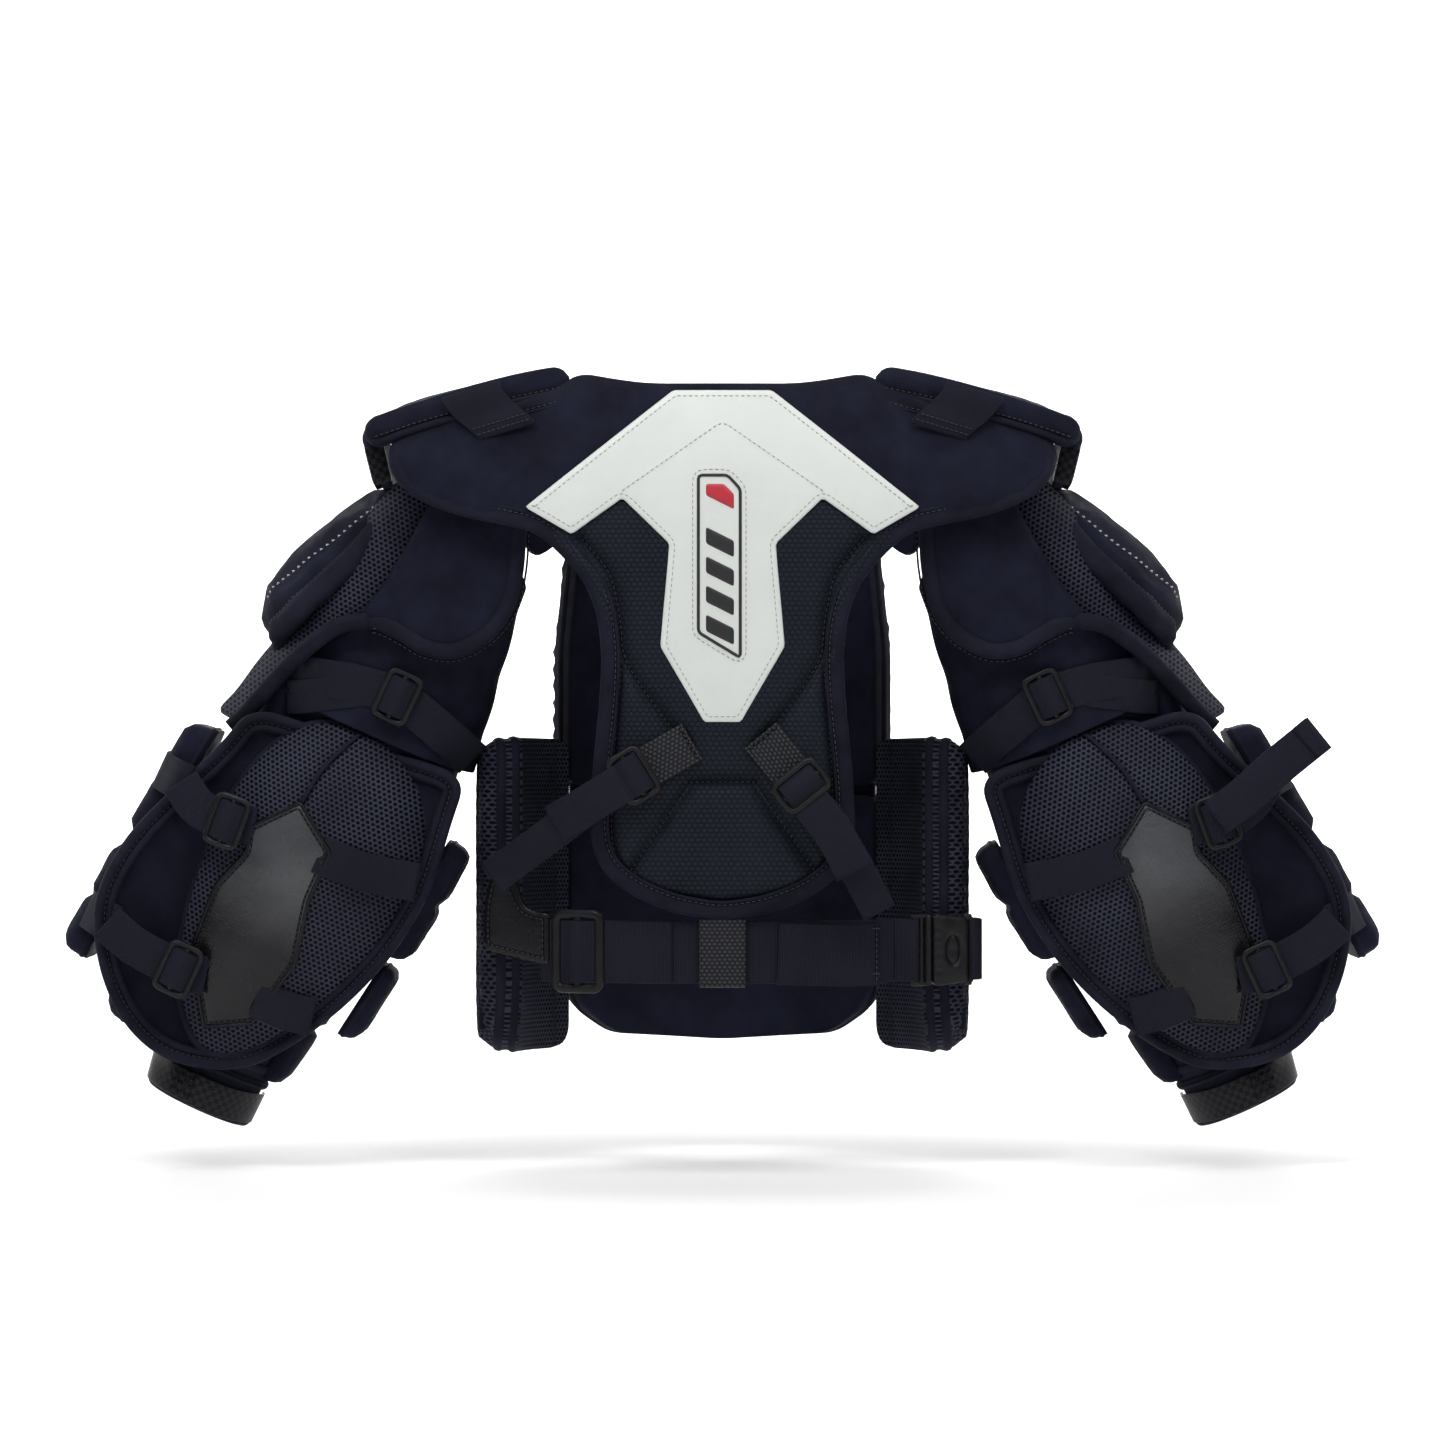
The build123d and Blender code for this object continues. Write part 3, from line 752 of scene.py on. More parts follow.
def back_place(u, v, out):
    y = np.polyval(BACK_CURVE, v) + u * u * BACK_BOW - out
    return np.stack([u, y, v], axis=1)


def seam_line(half, step=3.0, radius=12):
    """A sewn line given for the right, and its mirror."""
    line = rounded(half, radius, step, closed=False)
    return [line, line * (-1, 1)]


def make_back_panel():
    """The spine pad: scaled nylon over foam, pressed down along its sewn channels."""
    half = [(0, -52)] + ARMHOLE
    loop = rounded(mirrored(half), 14, 4)
    channels = seam_line([(112, -128), (88, -156), (80, -196), (79, -222), (60, -252), (30, -292)])
    channels += seam_line([(27, -325), (50, -358), (76, -396)])
    channels += seam_line([(80, -230), (86, -300), (89, -368), (80, -392), (52, -410), (0, -417)], radius=30)
    channels.append(segment((-27.0, -321), (27, -321), 3))
    profile = crown(PAD, 9, bulge=3.2, spread=26, edge_height=3)

    def height(uv, edge):
        valley = groove(uv, channels, 6.5, 4.5)
        soft = groove(uv, channels, 2.0, 13.0)
        return np.maximum(profile(edge) - valley - soft, 2.0)

    bag = Bag()
    bag.add(*pad_bit(loop, back_place, height, step=5, seams=channels))
    panel = ride(bag.make("back_panel_pad", SCALES), "vest", "textured_nylon", "back_panel")

    threads = Bag()
    for line in channels:
        stitches(threads, line, back_place, 7.4 if len(line) < 25 else 6.6)
    return threads


def make_yoke():
    """The neck band and wings, in smooth nylon."""
    half = YOKE_TOP + WING + [(146, -124), (0, -60)]
    loop = rounded(mirrored(half), 16, 4)
    profile = crown(PAD - 1, 10, bulge=2.6, spread=30, edge_height=3)
    creases = [curve([(150, -30), (168, -70), (160, -104)], 4, False),
               curve([(-146, -26), (-170, -66), (-158, -106)], 4, False)]

    def height(uv, edge):
        return profile(edge) - groove(uv, creases, 1.2, 14.0)

    bag = Bag()
    bag.add(*pad_bit(loop, back_place, height, step=6))
    yoke = ride(bag.make("back_yoke_pad", NYLON), "vest", "black_nylon", "back_yoke")


def make_back_binding(threads):
    """One folded tape sewn round the whole edge of the yoke and the spine pad."""
    half = YOKE_TOP + WING + ARMHOLE
    loop = rounded(mirrored(half), 15, 3)
    loop = anticlockwise(loop)
    middle = shifted(loop, 6.5)
    bag = Bag()
    bag.add(*along_surface(middle, back_place, flat_profile(13.5, 10.5, 0.6, 0.4), closed=True))
    piping = shifted(loop, 13.6)
    bag.add(*along_surface(piping, back_place, tube_profile(3.0, 3.4, 8.3), closed=True))
    ride(bag.make("back_binding", BINDING), "vest", "black_nylon")
    stitches(threads, shifted(loop, 11.4), back_place, 11.0, closed=True)


def patch_outline():
    return mirrored([(0, -11), (39, -11), (156, -104), (119, -125.5), (79, -97), (42, -133), (49, -214),
                     (14.5, -274)])


def make_chevron():
    """The white leather arrow, its stitches and its plain slanted-bar emblem."""
    loop = rounded(patch_outline(), 1.6, 3)
    base = PAD + 2.2
    bag = Bag()

    def height(uv, edge):
        return base + 1.5 * np.clip(edge / 1.6, 0.15, 1) ** 0.5 + 0.5 * (1 - np.exp(-edge / 9))

    bag.add(*pad_bit(loop, back_place, height, step=6, under=base - 3.0))
    ride(bag.make("chevron_leather", WHITE), "vest", "white_leather", "chevron_patch")

    loop = anticlockwise(loop)
    white_threads = Bag()
    stitches(white_threads, shifted(loop, 4.6), back_place, base + 1.75, closed=True, **FINE)
    ridge = rounded([(-80, -92), (0, -36), (80, -92)], 4, 3, closed=False)
    stitches(white_threads, ridge, back_place, base + 2.1, **FINE)

    frame_shape = [(-19, -79), (4, -79), (14, -90), (14, -223), (-19, -203)]
    rim = rounded(frame_shape, 3, 2)
    rim = anticlockwise(rim)
    stitches(white_threads, shifted(rim, -4.5), back_place, base + 2.1, closed=True, **FINE)
    ride(white_threads.make("chevron_stitches", GREY_THREAD), "vest", "white_leather")

    black = Bag()
    black.add(*along_surface(rim, back_place, flat_profile(2.4, 1.2, base + 1.6), closed=True))
    for top in (-118, -141, -164, -187):
        bar = [(-13, top - 2), (9, top - 13), (9, top - 26), (-13, top - 15)]
        black.add(*pad_bit(rounded(bar, 1.5, 1.5), back_place,
                           lambda uv, edge: base + 2.2 + 0.6 * np.clip(edge, 0, 1), step=5, under=base))
    ride(black.make("emblem_bars", INK), "vest", "white_leather")
    red = Bag()
    block = [(-13, -86), (1, -86), (9, -94), (9, -106), (-13, -95)]
    red.add(*pad_bit(rounded(block, 1.5, 1.5), back_place,
                     lambda uv, edge: base + 2.2 + 0.6 * np.clip(edge, 0, 1), step=5, under=base))
    ride(red.make("emblem_red_block", RED), "vest", "white_leather")


# ================================================================ hardware and straps

def tri_glide(bag, place, u, v, angle, web, out, bar=5.0, slot=8.0):
    """A moulded tri-glide lying on a place surface, its length turned by angle degrees."""
    turn = math.radians(angle)
    along = np.array([math.cos(turn), math.sin(turn)])
    across = np.array([-along[1], along[0]])
    half_l, half_w = (3 * bar + 2 * slot) / 2 - bar / 2, (web + bar) / 2 + 0.8

    def spot(points):
        p = np.array(points, float)
        return np.array([u, v]) + p[:, :1] * along + p[:, 1:] * across

    rim = rounded([(-half_l, -half_w), (half_l, -half_w), (half_l, half_w), (-half_l, half_w)], 6, 1.5)
    bag.add(*along_surface(spot(rim), place, tube_profile(bar, 4.6, out, 12), closed=True))
    post = segment((0.0, -half_w), (0, half_w))
    bag.add(*along_surface(spot(post), place, tube_profile(bar, 3.8, out + 0.2, 10)))


def strap(bag, place, points, width, thick=2.0):
    """Webbing along (u, v, out) points on a place surface."""
    line = curve(points, 3.0, closed=False)
    flat = line[:, :2]
    normal = side_normals(flat, False)
    profile = flat_profile(width, thick)
    grid = np.empty((len(flat), len(profile), 3))
    for j, (across, out) in enumerate(profile):
        spot = flat + normal * across
        grid[:, j] = place(*spot.T, line[:, 2] + out)
    bag.add(*grid_bit(grid))


def loop_over(bag, place, u, v, angle, web, out, reach=15.0):
    """The fold of webbing that passes up through a tri-glide, over its post and down again."""
    turn = math.radians(angle)
    along = np.array([math.cos(turn), math.sin(turn)])
    path = [(-reach, 0.4), (-9, 1.6), (-5.5, 4.4), (0, 6.2), (5.5, 4.4), (9, 1.6), (reach, 0.4)]
    points = [(u + s * along[0], v + s * along[1], out + o) for s, o in path]
    strap(bag, place, points, web, 1.8)


# ================================================================ arms

ARM_TILT = math.radians(25)
PIVOT = np.array([205.0, 0.0, -85.0])
MITRE = math.tan(math.radians(31))
ELBOW_H, ELBOW_Y = 265.0, 25.0
ARM_ARC = 80.0               # u per radian round an arm


def arm_xyz(a, y, h):
    """The right arm's own frame: a outwards, y forwards, h down the arm from the pivot."""
    c, s = math.cos(ARM_TILT), math.sin(ARM_TILT)
    return np.stack([PIVOT[0] + a * c + h * s, y + 0 * a, PIVOT[2] + a * s - h * c], axis=1)


def behind_arm(y_base):
    """A place surface behind the arm: u is a, v is -h and out is towards the back.

    y_base(a, h) gives the surface's y.
    """
    def place(u, v, out):
        return arm_xyz(u, y_base(u, -v) - out, -v)
    return place


def around_arm(radii):
    """A place surface round the arm: u is the arc length, zero on the outer side and growing
    to the front, and v is -h. radii(h) gives (half-width, half-depth, centre a, centre y).
    """
    def place(u, v, out):
        wide, deep, centre_a, centre_y = radii(-v)
        angle = u / ARM_ARC
        return arm_xyz(centre_a + (wide + out) * np.cos(angle), centre_y + (deep + out) * np.sin(angle), -v)
    return place


def arc(degrees):
    """The u of a place that is this many degrees from the arm's outer side."""
    return math.radians(degrees) * ARM_ARC


def levels(table):
    """A function of h that runs through rows of (h, values...)."""
    rows = np.array(table, float)

    def at(h):
        return tuple(np.interp(h, rows[:, 0], rows[:, k]) for k in range(1, rows.shape[1]))
    return at


def both(bag, name, material, body, slot, *nodes):
    """Makes the right piece and its mirror, each on its own arm."""
    made = []
    for side in (RIGHT, LEFT):
        end = SIDE_NAMES[side]
        piece = bag.make(f"{name}_{end}", material, side)
        made.append(ride(piece, f"{body}_{end}", slot, *[f"{n}_{end}" for n in nodes]))
    return made


SLEEVE = levels([(15, 60, 60, -7, -3), (150, 79, 62, -8, -3), (214, 86, 62, -11, -3), (300, 90, 60, -12, -3)])
FLOATER = levels([(14, 46, 46, 2, -4), (30, 62, 58, 2, -4), (65, 84, 76, 0, -2), (106, 103, 86, 0, 0),
                  (139, 111, 90, 0, 0), (165, 106, 86, 0, 0), (182, 92, 76, 0, 0)])
UPPER = levels([(92, 56, 56, 2, 2), (150, 62, 60, 0, 2), (250, 68, 60, -6, 2)])
FOREARM = levels([(240, 88, 64, -2, 6), (506, 46, 42, -4, 6), (560, 44, 40, 0, 6)])
CUFF = levels([(466, 46, 42, -2, 6), (510, 38, 38, -7, 6), (560, 33, 35, -11, 6)])


def strip_y(a, h):
    """Where the sleeve's mesh strip lies behind the arm, bending forwards on the outer side."""
    bend = np.interp(h, (150, 230), (0.020, 0.012))
    return -62.0 + bend * np.clip(a - 34, 0, 99) ** 2 + 0.05 * np.clip(h - 150, 0, 90)


def make_upper_arm():
    guard_place = around_arm(UPPER)
    left_u, right_u = arc(-34), arc(214)
    low = []
    for degrees in np.linspace(-34, 214, 30):
        y = 78 * math.sin(math.radians(degrees))
        low.append((arc(degrees), -min(246, ELBOW_H - 6 - MITRE * max(0, y - ELBOW_Y))))
    corners = [(right_u, -96), (left_u, -96)] + low
    bands = [np.array([(left_u, v), (right_u, v)], float) for v in (-128, -160, -194)]
    bands = [resample(b, 4, False) for b in bands]
    spines = [segment((arc(d), -96.0), (arc(d), -240)) for d in (20, 90, 160)]
    profile = crown(17, 9, 2.5, 20, 4)

    def height(uv, edge):
        return np.maximum(profile(edge) - groove(uv, bands, 7, 3.5) - groove(uv, spines, 4, 3), 2)

    bag = Bag()
    bag.add(*pad_bit(rounded(corners, 8, 5), guard_place, height, step=7, seams=bands + spines))
    both(bag, "upper_guard_pad", NYLON, "upper_arm", "black_nylon", "upper_arm_guard")

    # the sleeve's nylon back and its mesh side
    sleeve = around_arm(SLEEVE)
    nylon_loop = [(arc(-62), -34), (arc(-60), -112), (arc(-34), -150), (arc(-20), -208), (arc(-62), -214),
                  (arc(-128), -212), (arc(-186), -206), (arc(-200), -110), (arc(-186), -60), (arc(-120), -26)]
    folds = [curve([(arc(-75), -150), (arc(-110), -170), (arc(-150), -205)], 4, False),
             curve([(arc(-80), -118), (arc(-120), -140), (arc(-170), -150)], 4, False)]

    def cloth(uv, edge):
        wrinkle = 1.6 * np.sin(uv[:, 0] * 0.09 + uv[:, 1] * 0.05) * np.sin(uv[:, 1] * 0.07)
        return 3.0 + wrinkle - groove(uv, folds, 1.6, 5)

    bag = Bag()
    bag.add(*pad_bit(rounded(nylon_loop, 16, 5), sleeve, cloth, step=7))
    both(bag, "sleeve_back", NYLON, "upper_arm", "black_nylon")

    strip_place = behind_arm(strip_y)
    mesh_loop = [(16, -14), (18, -60), (20, -100), (27, -132), (42, -142), (57, -163), (70, -192), (84, -237),
                 (88, -250), (112, -250), (103, -228), (98, -200), (88, -165), (79, -110), (66, -60),
                 (50, -14)]
    bag = Bag()
    bag.add(*pad_bit(rounded(mesh_loop, 8, 4), strip_place,
                     lambda uv, edge: 2.0 + 5 * (1 - np.exp(-edge / 9)), step=5, under=-4))
    for piece in both(bag, "sleeve_mesh", MESH, "upper_arm", "spacer_mesh"):
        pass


def make_rear_flap(threads):
    """The round flap behind the shoulder, with a bound edge and a curved seam."""
    outline = [(-56, -2), (14, -2), (20, -20), (22, -60), (26, -100), (34, -132), (19, -130), (-4, -129),
               (-27, -131), (-50, -123), (-67, -102), (-73, -74), (-67, -44), (-57, -18)]
    loop = rounded(outline, 9, 3.5)
    loop = anticlockwise(loop)
    place = behind_arm(lambda a, h: -72.0 + 0 * a)
    seam = curve([(20, -82), (15, -100), (4, -122)], 3, False)
    edge_line = curve([(92, -256), (84, -237), (70, -193), (57, -164), (42, -142), (19, -129), (-4, -128),
                       (-27, -130), (-49, -122), (-65, -101), (-71, -74), (-65, -45), (-55, -18),
                       (-50, -2)], 3, False)
    high = strip_y(edge_line[:, 0], -edge_line[:, 1]) - 4
    lift = np.where(edge_line[:, 0] > 24, -61 - high, 0) + np.interp(edge_line[:, 0], [10, 46], [12, 0])
    bound = np.column_stack([edge_line, lift])
    sewn = shifted(edge_line[::-1], -8.5, False)
    profile = crown(9, 8, 4.0, 24, 2.5)

    def height(uv, edge):
        return profile(edge) - groove(uv, [seam], 2.5, 3) - groove(uv, [sewn], 2.4, 2.2)

    bag = Bag()
    bag.add(*pad_bit(loop, place, height, step=5, seams=[seam]))
    for piece in both(bag, "rear_flap_pad", NYLON, "upper_arm", "black_nylon", "rear_flap"):
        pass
    bag = Bag()
    low_place = behind_arm(lambda a, h: -61.0 + 0 * a)
    strap(bag, low_place, bound, 13.5, 11.5)
    both(bag, "rear_flap_binding", BINDING, "upper_arm", "black_nylon")
    on_flap = edge_line[edge_line[:, 0] < 22][::-1]
    stitches(threads, shifted(on_flap, -5.2, False), place, 8.4)
    stitches(threads, shifted(on_flap, -8.6, False), place, 6.9)


def make_upper_strap():
    place = behind_arm(lambda a, h: -66.0 + 0 * a)
    band = Bag()
    strap(band, place, [(66, -197, -30), (50, -191, -13), (30, -185, -2), (12, -180, 1.6), (-22, -176, 2.6),
                        (-50, -182, -1), (-76, -190, -14), (-96, -197, -40)], 31)
    strap(band, place, [(60, -214, -28), (46, -207, -12), (20, -191, 0), (4, -181, 1.6)], 27)
    both(band, "upper_strap_band", ELASTIC, "upper_arm", "elastic_webbing", "upper_strap")
    frame_bag, fold = Bag(), Bag()
    tri_glide(frame_bag, place, -22, -176, 0, 32, 4.6)
    loop_over(fold, place, -22, -176, 0, 31, 4.4)
    both(frame_bag, "upper_slider_frame", PLASTIC, "upper_slider", "moulded_plastic", "upper_slider")
    both(fold, "upper_slider_fold", ELASTIC, "upper_slider", "elastic_webbing")


def make_forearm_guard():
    place = around_arm(FOREARM)
    left_u, right_u = arc(-24), arc(204)
    top = []
    for degrees in np.linspace(204, -24, 30):
        y = 84 * math.sin(math.radians(degrees))
        top.append((arc(degrees), -max(246, ELBOW_H + 6 + MITRE * max(0, y - ELBOW_Y))))
    corners = top + [(left_u, -504), (right_u, -504)]
    bands = [segment((left_u, v), (right_u, v)) for v in (-352, -400, -450)]
    spines = [segment((arc(d), -270.0), (arc(d), -500)) for d in (35, 145)]
    profile = crown(16, 9, 2.5, 20, 4)

    def height(uv, edge):
        return np.maximum(profile(edge) - groove(uv, bands, 7, 3.5) - groove(uv, spines, 5, 3), 2)

    bag = Bag()
    bag.add(*pad_bit(rounded(corners, 10, 5), place, height, step=7, seams=bands + spines))
    both(bag, "forearm_guard_pad", NYLON, "forearm", "black_nylon", "forearm_guard")


SHELL_EDGE = [(-99, -210), (-103, -250), (-112, -304), (-107, -360), (-90, -414), (-64, -464), (-34, -502),
              (22, -520), (66, -508), (104, -474), (131, -426), (129, -372), (112, -322), (90, -270),
              (82, -232)]


def shell_y(a, h):
    """The back lining is a shallow dish whose rim stands towards the back."""
    return -47.0 - 14.0 * np.clip(np.abs(a - 8) / 118, 0, 1) ** 2


def make_shell(threads):
    """The lining behind the forearm and its doubly piped rim."""
    place = behind_arm(shell_y)
    loop = rounded(SHELL_EDGE, 26, 4)
    loop = anticlockwise(loop)

    def cloth(uv, edge):
        wrinkle = 1.3 * np.sin(uv[:, 0] * 0.11 - uv[:, 1] * 0.06) * np.sin(uv[:, 1] * 0.09)
        return 4.0 + wrinkle

    bag = Bag()
    bag.add(*pad_bit(loop, place, cloth, step=7))
    both(bag, "forearm_lining", NYLON_DEEP, "forearm", "black_nylon")
    bag = Bag()
    bag.add(*along_surface(shifted(loop, 4), place, tube_profile(9, 11, 0.5), closed=True))
    bag.add(*along_surface(shifted(loop, 12), place, tube_profile(7, 8, 1.5), closed=True))
    both(bag, "forearm_piping", BINDING, "forearm", "black_nylon")
    stitches(threads, shifted(loop, 8.2), place, 8.0, closed=True)


SLING_EDGE = [(-100, -312), (-88, -262), (-56, -226), (-15, -211), (22, -218), (48, -242), (64, -286),
              (67, -340), (60, -404), (42, -460), (4, -498), (-36, -486), (-70, -438), (-94, -378)]


def sling_out(uv, edge):
    """The pocket's height over the lining: a dome at the elbow that runs down the forearm."""
    top = 50 * np.exp(-(((uv[:, 0] + 14) / 84) ** 2 + ((uv[:, 1] + 300) / 92) ** 2))
    low = 26 * np.exp(-(((uv[:, 0] + 12) / 62) ** 2 + ((uv[:, 1] + 415) / 74) ** 2))
    body = np.maximum(top, 0) + low * 0.72
    return 3 + body * np.sqrt(1 - (1 - np.clip(edge / 30, 0, 1)) ** 2)


SLING_BASE = behind_arm(lambda a, h: -50.0 + 0 * a)
SLING_LOOP = curve(SLING_EDGE, 4)
SLING_SEAM = curve([(-8, -212), (6, -250), (10, -284)], 3, False)


def sling_height(u, v):
    """The finished pocket's height, for what lies on it."""
    uv = np.stack([u, v], axis=1)
    return sling_out(uv, distance(uv, SLING_LOOP, True) * np.where(inside(uv, SLING_LOOP), 1, 0))


def on_sling(u, v, out):
    return SLING_BASE(u, v, out + sling_height(u, v))


def make_sling(threads):
    """The mesh pocket behind the elbow, its centre seam and its vinyl patch."""
    bag = Bag()

    def height(uv, edge):
        return sling_out(uv, edge) - groove(uv, [SLING_SEAM], 3.2, 3.5)

    bag.add(*pad_bit(SLING_LOOP, SLING_BASE, height, step=5, seams=[SLING_SEAM], under=-2))
    for piece in both(bag, "elbow_sling_mesh", MESH, "forearm", "spacer_mesh", "elbow_sling"):
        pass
    loop = anticlockwise(SLING_LOOP)
    bag = Bag()
    bag.add(*along_surface(shifted(loop, 1.0), SLING_BASE, tube_profile(7, 8, -1), closed=True))
    bag.add(*along_surface(SLING_SEAM, on_sling, tube_profile(3.4, 3.0, -1.6)))
    both(bag, "elbow_sling_piping", BINDING, "forearm", "black_nylon")

    patch = [(11, -282), (41, -318), (35, -338), (47, -372), (44, -428), (8, -482), (-28, -462), (-40, -402),
             (-29, -352), (-29, -308)]
    patch_loop = rounded(patch, 2.5, 3)
    patch_loop = anticlockwise(patch_loop)
    bag = Bag()
    bag.add(*pad_bit(patch_loop, on_sling, lambda uv, e: 2.4 + 1.2 * (1 - np.exp(-e / 5)), step=3.5))
    # the patch's upper part is painted lighter as a highlight
    both(bag, "elbow_patch_vinyl", VINYL_PAINTED_HIGHLIGHT, "forearm", "gloss_vinyl", "elbow_patch")
    bag = Bag()
    bag.add(*along_surface(shifted(patch_loop, 1.2), on_sling, tube_profile(3.0, 3.0, 1.4), closed=True))
    both(bag, "elbow_patch_edge", VINYL, "forearm", "gloss_vinyl")
    stitches(threads, shifted(patch_loop, 4.6), on_sling, 3.4, closed=True, thick=0.6)


# ================================================================ straps over the forearm

def arm_back(u, v):
    """How far the back of the forearm stands out from the sling's base, at u = a and v = -h."""
    uv = np.stack([u, v], axis=1)
    rim = rounded(SHELL_EDGE, 26, 4)
    lining = -3.0 + 14.0 * np.clip(np.abs(u - 8) / 118, 0, 1) ** 2 + 4
    near = distance(uv, rim, True)
    piping = np.where(near < 10, 11.5 + 0 * near, 0) * np.where(inside(uv, rim), 1, near < 4)
    return np.maximum(sling_height(u, v), lining + piping)


def taut(s, height):
    """The lowest line over the heights that never bends inwards, as pulled webbing lies."""
    hull = []
    for point in zip(s, height):
        while len(hull) > 1:
            (x0, y0), (x1, y1) = hull[-2], hull[-1]
            if (y1 - y0) * (point[0] - x0) <= (point[1] - y0) * (x1 - x0):
                hull.pop()
            else:
                break
        hull.append(point)
    hull = np.array(hull)
    return np.interp(s, hull[:, 0], hull[:, 1])


def webbing_path(points, width=30):
    """A taut path over the forearm's back through (a, h) points, with its height."""
    line = curve([(a, -h) for a, h in points], 3, False)
    normal = side_normals(line, False)
    low = np.max([arm_back(*(line + normal * w).T) for w in (-width / 2.6, 0, width / 2.6)], axis=0)
    s = np.concatenate([[0], np.cumsum(np.linalg.norm(np.diff(line, axis=0), axis=1))])
    high = taut(s, low) + 1.4
    kernel = np.ones(7) / 7
    padded = np.concatenate([np.full(3, high[0]), high, np.full(3, high[-1])])
    return np.column_stack([line, np.maximum(np.convolve(padded, kernel, "valid"), low + 0.8)])


def wrap_over_side(bag, h, a_in):
    """The end of a forearm strap that goes round the outer side pad."""
    points = [(a_in + a, y, h) for a, y in ((-4, -66), (8, -62), (17, -49), (23, -36), (25, -10), (25, 20))]
    path = curve(points, 4, False)
    path = arm_xyz(*path.T)
    centre = arm_xyz(np.array([0.0]), np.array([10.0]), np.array([float(h)]))
    bag.add(*in_space(path, path - centre, flat_profile(31, 2.0)))


def sloped(a0, out, slope):
    """A flat place surface that touches the strap at a0, leaning with it."""
    def place(u, v, off):
        return SLING_BASE(u, v, out + slope * (u - a0) + off)
    return place


FOREARM_STRAPS = {
    "elbow": {"outer": [(106, 310), (84, 322), (60, 322), (36, 316)],
              "inner": [(-20, 314), (-60, 312), (-99, 303)],
              "slider": (58, 322), "angle": -5},
    "wrist": {"outer": [(112, 436), (84, 444), (44, 446), (22, 442)],
              "inner": [(-22, 440), (-46, 440), (-69, 436)],
              "slider": (44, 446), "angle": 0},
}


def make_forearm_straps():
    bands = Bag()
    for name, data in FOREARM_STRAPS.items():
        outer = webbing_path(data["outer"])
        strap(bands, SLING_BASE, outer, 31)
        strap(bands, SLING_BASE, webbing_path(data["inner"]), 31)
        a, h = data["slider"]
        near = int(np.argmin(np.hypot(outer[:, 0] - a, outer[:, 1] + h)))
        slope = (outer[near + 2, 2] - outer[near - 2, 2]) / (outer[near + 2, 0] - outer[near - 2, 0])
        place = sloped(a, outer[near, 2] + 3.6, slope)
        frame_bag, fold = Bag(), Bag()
        tri_glide(frame_bag, place, a, -h, data["angle"], 32, 0.6)
        loop_over(fold, place, a, -h, data["angle"], 31, 0.4)
        both(frame_bag, f"{name}_slider_frame", PLASTIC, f"{name}_slider", "moulded_plastic",
             f"{name}_slider")
        both(fold, f"{name}_slider_fold", ELASTIC, f"{name}_slider", "elastic_webbing")
        a_end, h_end = data["outer"][0]
        wrap_over_side(bands, h_end, a_end - 2)
    both(bands, "forearm_strap_bands", ELASTIC, "forearm", "elastic_webbing", "elbow_strap", "wrist_strap")


def make_free_tail():
    """The loose end of the right elbow strap, standing off past the tri-glide."""
    bag = Bag()
    path = curve([(56, -103, 318), (84, -104, 312), (118, -100, 302), (160, -94, 292)], 4, False)
    path = arm_xyz(*path.T)
    bag.add(*in_space(path, (0.05, -1, 0.1), flat_profile(31, 2.0)))
    ride(bag.make("elbow_strap_tail", ELASTIC), "forearm_right", "elastic_webbing")
    bag = Bag()
    end = curve([(146, -97.8, 295), (152, -97.2, 293.4), (158, -96.6, 292)], 3, False)
    bag.add(*in_space(arm_xyz(*end.T), (0.05, -1, 0.1), flat_profile(31, 2.2)))
    ride(bag.make("elbow_strap_tail_fold", ELASTIC), "forearm_right", "elastic_webbing")


# ================================================================ belt and back straps

BELT_R, BELT_Y, BELT_Z = 297.0, -104.0, -456.0


def belt_place(u, v, out):
    angle = u / BELT_R
    reach = BELT_R + out
    return np.stack([reach * np.sin(angle), BELT_Y + BELT_R - reach * np.cos(angle), v + 0 * u], axis=1)


def plane_place(origin, along, facing):
    """A flat place surface with u along a direction and out towards facing."""
    x = np.array(along, float)
    x /= np.linalg.norm(x)
    n = np.array(facing, float)
    n -= x * n.dot(x)
    n /= np.linalg.norm(n)
    y = np.cross(n, x)

    def place(u, v, out):
        return np.array(origin, float) + np.outer(u, x) + np.outer(v, y) + np.outer(out, n)
    return place


